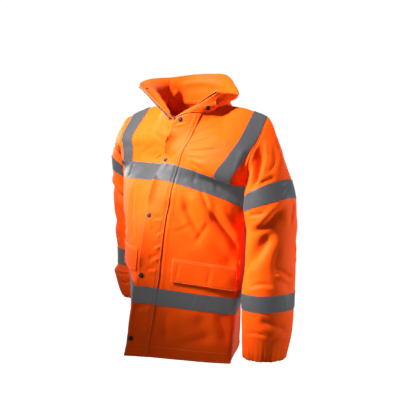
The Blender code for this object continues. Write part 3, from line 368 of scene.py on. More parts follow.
def lofted(rings: Sequence[np.ndarray]) -> tuple[np.ndarray, np.ndarray]:
    """Return rings of four points as a closed body: its vertices and its faces.

    Args:
        rings: The rings, counted anticlockwise as seen from the last ring's side.

    Returns:
        Vertices, and faces of four corners that point outwards.
    """
    faces = [[i * 4 + j, i * 4 + (j + 1) % 4, i * 4 + 4 + (j + 1) % 4, i * 4 + 4 + j]
             for i in range(len(rings) - 1) for j in range(4)]
    top = 4 * len(rings) - 4
    faces += [[3, 2, 1, 0], [top, top + 1, top + 2, top + 3]]
    return np.concatenate(rings), np.array(faces)


@dataclass(frozen=True)
class SoftNoise:
    """Smooth repeatable noise: random values on a cubic lattice, eased between its points."""

    seed: int
    cells: int = 32

    def at(self, points: np.ndarray, wave: float) -> np.ndarray:
        """Read the noise.

        With q = p / wave, the value is the lattice's, blended by s = 3t^2 - 2t^3 along
        each axis, where t is q's share of its cell.

        Args:
            points: Points in metres, last axis x, y, z.
            wave: Size of a lattice cell in metres.

        Returns:
            Values from -1 to 1, one for each point.
        """
        lattice = np.random.default_rng(self.seed).uniform(-1, 1, (self.cells,) * 3)
        q = points / wave
        low = np.floor(q).astype(int)
        t = q - low
        s = 3 * t**2 - 2 * t**3
        total = np.zeros(points.shape[:-1])
        for corner in np.ndindex(2, 2, 2):
            weight = np.prod(np.where(np.array(corner) == 1, s, 1 - s), axis=-1)
            i, j, k = np.moveaxis((low + corner) % self.cells, -1, 0)
            total += weight * lattice[i, j, k]
        return total


# ---------------------------------------------------------------- cloth as a grid


@dataclass
class Cloth:
    """A piece of cloth: points of its outer face in rows and columns, with their normals."""

    points: np.ndarray
    normals: np.ndarray
    ring: bool = False        # the columns close into a tube

    @classmethod
    def of(cls, points: np.ndarray, ring: bool = False) -> Cloth:
        """Return a grid of points as cloth, with its normals still to come."""
        points = np.asarray(points, float)
        return cls(points, np.zeros_like(points), ring)

    def part(self, rows: tuple[float, float], cols: tuple[float, float]) -> Cloth:
        """Return the cloth between two rows and two columns of the panel's own grid."""
        r0, r1, c0, c1 = (round(v * FINE) for v in (*rows, *cols))
        return Cloth(self.points[r0:r1 + 1, c0:c1 + 1], self.normals[r0:r1 + 1, c0:c1 + 1])

    def rows(self, first: float, last: float) -> Cloth:
        """Return a tube's stretch between two rows of the panel's own grid."""
        r0, r1 = round(first * FINE), round(last * FINE)
        return Cloth(self.points[r0:r1 + 1], self.normals[r0:r1 + 1], self.ring)

    def turned(self, axis: int) -> Cloth:
        """Return the same cloth counted the other way along an axis."""
        return Cloth(np.flip(self.points, axis), np.flip(self.normals, axis), self.ring)

    def joined(self, other: Cloth, axis: int) -> Cloth:
        """Return two cloths that share their last and first line as one."""
        cut = (slice(1, None), slice(None)) if axis == 0 else (slice(None), slice(1, None))
        return Cloth(np.concatenate([self.points, other.points[cut]], axis),
                     np.concatenate([self.normals, other.normals[cut]], axis))

    def moved(self, by: np.ndarray | float) -> Cloth:
        """Return the cloth moved along its normals."""
        by = np.broadcast_to(by, self.points.shape[:2])[..., None]
        return Cloth(self.points + self.normals * by, self.normals, self.ring)

    def slopes(self) -> np.ndarray:
        """Return normals from the grid's own slopes, not yet turned outwards.

        Returns:
            Unit vectors, one for each point.
        """
        p = self.points
        if self.ring:
            p = np.concatenate([p[:, -1:], p, p[:, :1]], axis=1)
        down = np.gradient(p, axis=0)
        across = np.gradient(p, axis=1)
        if self.ring:
            down, across = down[:, 1:-1], across[:, 1:-1]
        return unit(np.cross(down, across))

    def faced(self, inside: np.ndarray) -> np.ndarray:
        """Return the grid's normals, turned away from inside points."""
        own = self.slopes()
        return own * np.sign(np.sum(own * (self.points - inside)))

    def refreshed(self) -> Cloth:
        """Return the cloth with normals from its present points, on the side of the old ones."""
        own = self.slopes()
        return Cloth(self.points, own * np.sign(np.sum(own * self.normals)), self.ring)

    def read(self, rows: np.ndarray, cols: np.ndarray) -> tuple[np.ndarray, np.ndarray]:
        """Read points and normals between the grid's points.

        Args:
            rows: Rows of the panel's own grid.
            cols: Columns, of the same shape.

        Returns:
            Points and unit normals, straight between the four grid points round each place.
        """
        r = np.clip(np.asarray(rows, float) * FINE, 0, self.points.shape[0] - 1)
        c = np.asarray(cols, float) * FINE
        count = self.points.shape[1]
        c = c % count if self.ring else np.clip(c, 0, count - 1)
        r0, c0 = np.floor(r).astype(int), np.floor(c).astype(int)
        r1 = np.minimum(r0 + 1, self.points.shape[0] - 1)
        c1 = (c0 + 1) % count if self.ring else np.minimum(c0 + 1, count - 1)
        u, v = (r - r0)[..., None], (c - c0)[..., None]
        both = []
        for grid in (self.points, self.normals):
            both.append((grid[r0, c0] * (1 - v) + grid[r0, c1] * v) * (1 - u)
                        + (grid[r1, c0] * (1 - v) + grid[r1, c1] * v) * u)
        return both[0], unit(both[1])

    def at_heights(self, heights: np.ndarray) -> Cloth:
        """Return the cloth's columns read at the heights given, which its rows may not keep.

        Args:
            heights: Height of each new row, falling.

        Returns:
            The cloth, read in as many rows.
        """
        z = self.points[..., 2]
        row = np.stack([np.interp(-heights, -z[:, c], np.arange(len(z))) for c in range(z.shape[1])], 1)
        cols = np.broadcast_to(np.arange(z.shape[1]), row.shape)
        return Cloth(*self.read(row / FINE, cols / FINE))

    def across(self) -> np.ndarray:
        """Return each point's distance from column 0 along its row, in metres."""
        step = np.linalg.norm(np.diff(self.points, axis=1), axis=2)
        return np.concatenate([np.zeros((len(step), 1)), np.cumsum(step, axis=1)], axis=1)

    def down(self) -> np.ndarray:
        """Return each point's distance from row 0 along its column, in metres."""
        step = np.linalg.norm(np.diff(self.points, axis=0), axis=2)
        return np.concatenate([np.zeros((1, step.shape[1])), np.cumsum(step, axis=0)], axis=0)

    def area(self) -> float:
        """Return the outer face's area in square metres."""
        p = np.concatenate([self.points, self.points[:, :1]], axis=1) if self.ring else self.points
        one = np.cross(p[1:, 1:] - p[:-1, :-1], p[1:, :-1] - p[:-1, 1:])
        return float(np.linalg.norm(one, axis=-1).sum() / 2)


def share_normals(cloths: Sequence[Cloth], own: Sequence[np.ndarray]) -> None:
    """Give points that coincide on different cloths the same mean normal.

    Args:
        cloths: The cloths, whose normals are set.
        own: Each cloth's own normals.
    """
    flat = np.concatenate([c.points.reshape(-1, 3) for c in cloths])
    weight = np.concatenate([n.reshape(-1, 3) for n in own])
    _, index = np.unique(np.round(flat, 7), axis=0, return_inverse=True)
    index = index.reshape(-1)
    total = np.zeros((index.max() + 1, 3))
    np.add.at(total, index, weight)
    mean = unit(total)[index]
    start = 0
    for c in cloths:
        count = c.points.shape[0] * c.points.shape[1]
        c.normals = mean[start:start + count].reshape(c.points.shape)
        start += count


# ---------------------------------------------------------------- the form


@dataclass
class Form:
    """The jacket's form as fine cloths, worked out from the key rows."""

    FLAT = 0.15              # share of the steps that a limited slope keeps at a turning point
    COL_SEAM = 3             # columns of a front, counted from the zip edge
    COL_POCKET = 4
    COL_NECK = 7
    COL_BRACE = 10
    COL_BRACE_EDGE = 12
    COL_SIDE = 13
    BACK_NECK = 6
    BACK_NECK_STEPS = 8
    BACK_COLS = 20
    NECK_STEPS = 3           # steps from the top edge to the yoke row
    CAP_STEPS = 6            # steps from the armhole to the upper sleeve band
    COLLAR_ROWS = 6
    ARMPIT = 4               # key rows, counted from the top edge
    CHEST_BAND = (3, 5)      # first and last key row
    POCKET_FLAP = (7, 8)
    WAIST_BAND = (9, 10)

    band: float = 0.050
    neck_seam: float = 0.095
    neck_free: float = 0.006
    edge_left: tuple = (0.004, 0.050)
    edge_right: tuple = (0.018, 0.070)
    pocket_start: float = 0.070
    pocket_step: tuple = (0.022, 0.008)
    neck_left: tuple = ((0.000, -0.0775, 0.000), (0.021, -0.0725, 0.0125), (0.050, -0.062, 0.020),
                        (0.086, -0.036, 0.0235), (0.118, 0.028, 0.046))
    neck_right: tuple = ((0.000, -0.0775, 0.000), (-0.045, -0.062, 0.019), (-0.084, -0.030, 0.036),
                         (-0.114, 0.028, 0.052))
    neck_back: tuple = ((0.118, 0.028, 0.046), (0.090, 0.082, 0.052), (0.000, 0.110, 0.054),
                        (-0.090, 0.082, 0.054), (-0.114, 0.028, 0.052))
    tip_left: tuple = (0.270, 0.020, 0.010)
    tip_right: tuple = (-0.260, 0.020, 0.012)
    shoulder_round: float = 0.006
    cap_left: tuple = (1.1, 0.7)
    cap_right: tuple = (0.45, 1.2)
    cap_straight: float = 0.8
    spread: tuple = (1.0, 0.6, 0.2, 0.0)
    collar_stand: float = 0.6
    quarter: float = 1.66
    lean_rise: float = 0.6
    samples: int = 161       # points of the curves that rows are read from
    full_zip: float = 0.9    # pull of the zip end's direction, in lengths of the row
    cap_low: float = 0.35    # how far a cap leaves the armpit outwards, for each metre of fall
    fold_rows: float = 3.0   # rows over which the sleeves' folds fade in
    collar_flat: tuple = (0.4, 0.6)  # rise kept in the collar's direction at its foot and its top
    collar_ends: float = 0.12        # share of the way round over which its ends run straight
    spine: tuple = (0.0, 0.0, -0.05)     # shifts of the lines that count as inside the body
    neck_middle: tuple = (0.0, 0.035, 0.0)
    knots: np.ndarray = field(init=False)        # row number of each key row
    cloths: dict = field(init=False, default_factory=dict)

    def __post_init__(self) -> None:
        """Work out the row number of each key row."""
        steps = [self.NECK_STEPS] + [row.steps for row in FRONT_LEFT[:-1]]
        self.knots = np.concatenate([[0], np.cumsum(steps)])

    @property
    def last(self) -> int:
        """Return the hem's row number."""
        return int(self.knots[-1])

    @property
    def armpit(self) -> int:
        """Return the armpit's row number."""
        return int(self.knots[self.ARMPIT])

    def between(self, keys: tuple[int, int]) -> tuple[int, int]:
        """Return the row numbers of two key rows."""
        return self.knots[keys[0]], self.knots[keys[1]]

    @staticmethod
    def heading(degrees: float) -> np.ndarray:
        """Return a level direction, turned from +X."""
        return np.array([math.cos(math.radians(degrees)), math.sin(math.radians(degrees)), 0.0])

    def left_row(self, row: FrontRow) -> np.ndarray:
        """Return a key row of the left front as a line from the zip edge to the side.

        Args:
            row: The key row.

        Returns:
            Points from its zip end to its side end.
        """
        p0, p1 = np.array(row.zip), np.array(row.side)
        span = np.linalg.norm((p1 - p0)[:2])
        t = np.linspace(0, 1, self.samples)
        line = hermite(p0, self.heading(row.turn_zip) * span * self.full_zip,
                       p1, self.heading(row.turn_side) * span * row.full_side, t)
        line[:, 2] = p0[2] + (p1[2] - p0[2]) * t ** row.sag
        return line

    def right_row(self, row: FrontRow, right: RightRow) -> np.ndarray:
        """Return the same on the right front: straight under the storm flap, then round.

        Args:
            row: The left front's key row.
            right: What differs on the right.

        Returns:
            Points from its zip end to its side end.
        """
        p0, p1 = np.array(row.zip), np.array(right.side)
        away = 180 + row.turn_zip
        free = p0 + self.heading(away) * row.free
        span = np.linalg.norm((p1 - free)[:2])
        bent = hermite(free, self.heading(away - right.corner) * span * right.full_free,
                       p1, self.heading(180 - right.turn_side) * span * right.full_side,
                       np.linspace(0, 1, self.samples))
        line = np.concatenate([[p0], bent])
        share = run_of(line * (1, 1, 0))
        line[:, 2] = p0[2] + (p1[2] - p0[2]) * (share / share[-1]) ** right.sag
        return line

    @staticmethod
    def far_columns(total: float, edge: float, width: float) -> list[float]:
        """Return where a row's last columns lie: both edges and the middle of the brace, the side."""
        return [total - edge - width, total - edge - width / 2, total - edge, total]

    def columns(self, line: np.ndarray, flap: float, start: float, edge: float, width: float) -> np.ndarray:
        """Read a front's row on its fine columns.

        Args:
            line: The row from the zip edge to the side.
            flap: Distance from the zip edge to the storm flap's seam or free edge.
            start: Distance to the next column.
            edge: Side to the brace's outer edge.
            width: The brace's width.

        Returns:
            Points at distances fixed from both ends, with even steps between.
        """
        near = list(np.linspace(0, flap, self.COL_SEAM + 1)) + [start]
        far = self.far_columns(run_of(line)[-1], edge, width)
        middle = np.linspace(near[-1], far[0], self.COL_BRACE - self.COL_POCKET + 1)[1:-1]
        return along(line, finer([*near, *middle, *far]))

    def top(self, neckline: tuple, tip: tuple, flap: float, brace: tuple) -> np.ndarray:
        """Return a front's top row: its neckline, then its shoulder seam.

        Args:
            neckline: The neckline's keys.
            tip: The shoulder tip.
            flap: Zip edge to the storm flap's seam or free edge.
            brace: Tip to the brace's outer edge, and its width.

        Returns:
            Points on its fine columns.
        """
        line = smooth_line(neckline, self.samples)
        near = list(np.linspace(0, flap, self.COL_SEAM + 1))
        near += list(np.linspace(flap, run_of(line)[-1], self.COL_NECK - self.COL_SEAM + 1)[1:])
        t = np.linspace(0, 1, self.samples)[:, None]
        start = np.array(neckline[-1])
        seam = start + (np.array(tip) - start) * t
        seam[:, 2] += self.shoulder_round * np.sin(math.pi * t[:, 0])
        far = self.far_columns(run_of(seam)[-1], *brace)
        inner = np.linspace(0, far[0], self.COL_BRACE - self.COL_NECK + 1)[:-1]
        return np.concatenate([along(line, finer(near))[:-1], along(seam, finer([*inner, *far]))])

    def fronts(self) -> tuple[np.ndarray, np.ndarray]:
        """Return the outer points of the left and the right front.

        Returns:
            Both fronts' grids.
        """
        rows = np.arange(self.last * FINE + 1) / FINE
        left = [self.top(self.neck_left, self.tip_left, self.neck_seam, self.edge_left)]
        right = [self.top(self.neck_right, self.tip_right, self.neck_free, self.edge_right)]
        for row, other in zip(FRONT_LEFT, FRONT_RIGHT):
            start = max(self.pocket_start, row.seam + self.pocket_step[0])
            left.append(self.columns(self.left_row(row), row.seam, start, row.edge, self.band))
            right.append(self.columns(self.right_row(row, other), row.free,
                                      row.free + self.pocket_step[1], other.edge, other.width))
        return tuple(smooth_through(np.array(keys), self.knots, rows, True) for keys in (left, right))

    def back_row(self, row: BackRow, left: np.ndarray, right: np.ndarray, edges: tuple) -> np.ndarray:
        """Return a key row of the back on its fine columns: left end, middle, right end.

        Args:
            row: The key row.
            left: Its left end.
            right: Its right end.
            edges: Each end to the brace's outer edge, and the brace's width.

        Returns:
            Points on its fine columns.
        """
        halves = []
        t = np.linspace(0, 1, self.samples)
        for side, turn, way in ((left, row.turn_left, 1), (right, row.turn_right, -1)):
            p0, p1 = np.array(side, float), np.array(row.middle)
            span = np.linalg.norm((p1 - p0)[:2])
            line = hermite(p0, way * self.heading(turn) * span * row.full,
                           p1, np.array([-way, 0.0, 0.0]) * span * row.full, t)
            line[:, 2] = p0[2] + (p1[2] - p0[2]) * (3 * t**2 - 2 * t**3)
            halves.append(line)
        line = np.concatenate([halves[0], halves[1][::-1][1:]])
        total = run_of(line)[-1]
        near, far = ([0.0, e, e + w / 2, e + w] for e, w in edges)
        count = self.BACK_COLS + 1 - (len(near) - 1) - (len(far) - 1)
        middle = np.linspace(near[-1], total - far[-1], count)[1:-1]
        return along(line, finer([*near, *middle, *(total - e for e in reversed(far))]))

    def back(self, left: np.ndarray, right: np.ndarray) -> np.ndarray:
        """Return the back's outer points, whose shoulders and side seams are the fronts'.

        Args:
            left: The left front's grid.
            right: The right front's.

        Returns:
            The back's grid.
        """
        line = smooth_line(self.neck_back, self.samples)
        neck = along(line, np.linspace(0, run_of(line)[-1], self.BACK_NECK_STEPS * FINE + 1))
        at = self.COL_NECK * FINE
        rows = [np.concatenate([left[0, :at:-1], neck, right[0, at + 1:]])]
        for row, knot, near, far in zip(BACK_ROWS, self.knots[1:], FRONT_LEFT, FRONT_RIGHT):
            start = left[knot * FINE, -1] if row.left is None else row.left
            end = right[knot * FINE, -1] if row.right is None else row.right
            rows.append(self.back_row(row, start, end, ((near.edge, self.band), (far.edge, far.width))))
        grid = smooth_through(np.array(rows), self.knots, np.arange(self.last * FINE + 1) / FINE, True)
        grid[self.armpit * FINE:, 0] = left[self.armpit * FINE:, -1]
        grid[self.armpit * FINE:, -1] = right[self.armpit * FINE:, -1]
        return grid

    @staticmethod
    def folded(cloth: Cloth, panel: str, fade: np.ndarray | float = 1.0) -> np.ndarray:
        """Move a cloth's points along their normals by the large folds.

        Each fold adds depth * exp(-(distance / width)^2), the distance being to its line.

        Args:
            cloth: The cloth, with its normals.
            panel: Which folds apply.
            fade: Share of the folds that each point gets.

        Returns:
            The moved points.
        """
        moved = cloth.points.copy()
        for fold in (f for f in FOLDS if f.panel == panel):
            a, b = np.array(fold.start), np.array(fold.end)
            t = np.clip(np.sum((cloth.points - a) * (b - a), axis=-1) / np.sum((b - a) ** 2), 0, 1)
            distance = np.linalg.norm(cloth.points - (a + t[..., None] * (b - a)), axis=-1)
            depth = fold.depth * np.exp(-((distance / fold.width) ** 2)) * fade
            moved += cloth.normals * depth[..., None]
        return moved

    @staticmethod
    def ring_points(ring: SleeveRing, side: int, angles: np.ndarray) -> np.ndarray:
        """Return points round a sleeve at the angles: outer side, front, body side, back.

        Args:
            ring: The key ring.
            side: 1 on the left, -1 on the right.
            angles: Where round the arm.

        Returns:
            One point for each angle.
        """
        tilt, pitch = math.radians(ring.tilt), math.radians(ring.pitch)
        out = np.array([side * math.cos(tilt), 0.0, math.sin(tilt)])
        front = np.array([0.0, -math.cos(pitch), math.sin(pitch)])
        return (np.array(ring.centre) + ring.across * np.cos(angles)[:, None] * out
                + ring.deep * np.sin(angles)[:, None] * front)

    @staticmethod
    def armhole_angles(armhole: np.ndarray) -> np.ndarray:
        """Return the angle of each armhole point round the arm: top, front, armpit, back.

        Args:
            armhole: The seam's points.

        Returns:
            Rising angles that start near 0.
        """
        y, z = armhole[:, 1], armhole[:, 2]
        up = (z - (z.max() + z.min()) / 2) / (z.max() - z.min())
        fore = ((y.max() + y.min()) / 2 - y) / (y.max() - y.min())
        angles = np.unwrap(np.arctan2(fore, up))
        return angles - round(angles[0] / (2 * math.pi)) * 2 * math.pi

    def sleeve(self, rings: Sequence[SleeveRing], armhole: np.ndarray, side: int, cap: tuple) -> np.ndarray:
        """Return a sleeve's outer points: its cap from the armhole, then the tube to the cuff.

        Args:
            rings: The key rings.
            armhole: The seam's points, from the shoulder tip round the front and the back.
            side: 1 on the left, -1 on the right.
            cap: Fall of the cap as it leaves the tip, and its pull.

        Returns:
            A grid whose columns close into a tube.
        """
        count = len(armhole)
        even = np.arange(count) / count * 2 * math.pi
        own = self.armhole_angles(armhole)
        share = [self.spread[min(i, len(self.spread) - 1)] for i in range(len(rings))]
        keys = np.array([self.ring_points(r, side, even + (own - even) * k)
                         for r, k in zip(rings, share)])
        low = ((1 - np.cos(own)) / 2)[:, None]
        leave = unit((1 - low) * np.array([side * 1.0, 0.0, -cap[0]])
                     + low * np.array([side * self.cap_low, 0.0, -1.0]))
        leave = unit(leave + self.cap_straight * low * unit(keys[0] - armhole))
        tilt = math.radians(rings[0].tilt)
        arrive = np.array([side * math.sin(tilt), 0.0, -math.cos(tilt)])
        reach = np.linalg.norm(keys[0] - armhole, axis=1, keepdims=True)
        t = np.linspace(0, 1, self.CAP_STEPS * FINE + 1)
        crown = hermite(armhole, leave * reach * cap[1], keys[0], arrive * reach, t)
        knots = ring_rows(rings)
        tube = smooth_through(keys, knots, np.arange(knots[-1] * FINE + 1) / FINE)
        return np.concatenate([crown, tube[1:]])

    def collar(self, base: np.ndarray) -> np.ndarray:
        """Return the collar's outer points, from the neckline up to its top edge.

        Args:
            base: The neckline's points, from the collar's left front edge round.

        Returns:
            The collar's grid.
        """
        share = np.linspace(0, 1, len(base))
        shares = [s for s, _, _ in COLLAR_TOP]
        top = smooth_through(np.array([p for _, p, _ in COLLAR_TOP]), np.array(shares), share)
        lean = np.interp(share, shares, [k for _, _, k in COLLAR_TOP])[:, None]
        rise = top - base
        reach = np.linalg.norm(rise, axis=1, keepdims=True)
        foot, end = self.collar_flat
        leave = unit(unit(rise) * (1, 1, foot) + np.array([0.0, 0.0, 1.0])) * reach * self.collar_stand
        arrive = unit(unit(rise) * (1, 1, end)) * reach * self.collar_stand
        leave = (1 - lean) * leave + lean * self.quarter * rise * (1, 1, self.lean_rise)
        arrive = (1 - lean) * arrive + lean * self.quarter * rise * (0, 0, 1)
        ease = np.clip(np.minimum(share, 1 - share)[:, None] / self.collar_ends, 0, 1)
        leave = ease * leave + (1 - ease) * rise
        arrive = ease * arrive + (1 - ease) * rise
        return hermite(base, leave, top, arrive, np.linspace(0, 1, self.COLLAR_ROWS * FINE + 1))

    def build(self) -> None:
        """Work out the six main cloths, with normals that neighbours share at their seams."""
        left, right = self.fronts()
        body = [Cloth.of(g) for g in (left, right, self.back(left, right))]
        axis = [c.points * (0, 0, 1) + self.spine for c in body]
        share_normals(body, [c.faced(a) for c, a in zip(body, axis)])
        body = [Cloth.of(self.folded(c, "body")) for c in body]
        left, right, back = (c.points for c in body)
        sleeves = []
        low = self.armpit * FINE
        for name, front, col, rings, side, cap in (
                ("sleeve_left", left, 0, SLEEVE_LEFT_RINGS, 1, self.cap_left),
                ("sleeve_right", right, -1, SLEEVE_RIGHT_RINGS, -1, self.cap_right)):
            armhole = np.concatenate([front[:low + 1, -1], back[low - 1:0:-1, col]])
            tube = Cloth.of(self.sleeve(rings, armhole, side, cap), ring=True)
            tube.normals = tube.faced(tube.points.mean(axis=1, keepdims=True))
            fade = np.clip(np.arange(len(tube.points)) / (self.fold_rows * FINE), 0, 1)[:, None]
            sleeves.append(Cloth.of(self.folded(tube, name, fade), ring=True))
        neck, step = self.COL_NECK * FINE, self.BACK_NECK * FINE
        wide = self.BACK_NECK_STEPS * FINE
        base = np.concatenate([left[0, :neck + 1], back[0, step + 1:step + wide], right[0, neck::-1]])
        collar = Cloth.of(self.collar(base))
        cloths = body + sleeves + [collar]
        inside = axis + [s.points.mean(axis=1, keepdims=True) for s in sleeves]
        inside.append(collar.points * (0, 0, 1) + self.neck_middle)
        share_normals(cloths, [c.faced(a) for c, a in zip(cloths, inside)])
        self.cloths = dict(zip(Panel, cloths))


# ---------------------------------------------------------------- creases, puckers and gathers


@dataclass(frozen=True)
class Crease:
    """A crease: a soft trough (negative depth) or ridge along a line."""

    route: tuple      # rows and columns of its panel's own grid
    width: float      # mm from its line to where it has all but faded
    depth: float      # mm
    lip: float = 0.0  # ridge beside it as a share of the depth; the sign says which side
    through: bool = False    # whether it also runs over the armhole seam

    def line(self, cloth: Cloth) -> tuple[np.ndarray, np.ndarray]:
        """Return points along the crease, smooth through its route, and normals there.

        Args:
            cloth: The cloth that it lies on.

        Returns:
            Points and normals.
        """
        keys = np.array(self.route, float)
        if len(keys) > 2:
            keys = smooth_line(keys, 6 * len(keys))
        else:
            keys = keys[0] + (keys[1] - keys[0]) * np.linspace(0, 1, 8)[:, None]
        return cloth.read(keys[:, 0], keys[:, 1])

    def push(self, cloth: Cloth, points: np.ndarray, normals: np.ndarray) -> np.ndarray:
        """Work out how far the crease moves each point of a cloth.

        At distance d from the line it is depth * exp(-(2d/width)^1.6), and the lip adds
        -lip * depth * exp(-((x - 0.8 width) / (0.5 width))^2), x being the distance to the
        lip's side. Both fade over the last third at each end.

        Args:
            cloth: The cloth.
            points: Points along the crease.
            normals: Normals there.

        Returns:
            Metres along the normals, one for each point of the cloth.
        """
        width, depth = self.width * MM, self.depth * MM
        out = np.zeros(cloth.points.shape[:2])
        low, high = points.min(axis=0) - 2 * width, points.max(axis=0) + 2 * width
        near = np.all((cloth.points > low) & (cloth.points < high), axis=-1)
        if not near.any():
            return out
        p = cloth.points[near][:, None]
        a, step = points[None, :-1], np.diff(points, axis=0)[None]
        share = np.clip(np.sum((p - a) * step, -1) / np.sum(step * step, -1), 0, 1)
        away = p - (a + share[..., None] * step)
        far = np.linalg.norm(away, axis=-1)
        best = np.argmin(far, axis=1)
        pick = np.arange(len(best))
        d = far[pick, best]
        side = np.sign(np.sum(np.cross(step[0][best], away[pick, best]) * normals[best], axis=-1))
        s = (best + share[pick, best]) / step.shape[1]
        fade = np.clip(np.minimum(s, 1 - s) * 3, 0, 1)
        fade = fade * fade * (3 - 2 * fade)
        facing = np.clip(np.sum(cloth.normals[near] * normals[best], axis=-1) * 2, 0, 1)
        form = np.exp(-((2 * d / width) ** 1.6))
        if self.lip:
            x = d * side * math.copysign(1, self.lip)
            form -= abs(self.lip) * np.exp(-(((x - 0.8 * width) / (0.5 * width)) ** 2))
        out[near] = depth * form * fade * facing
        return out


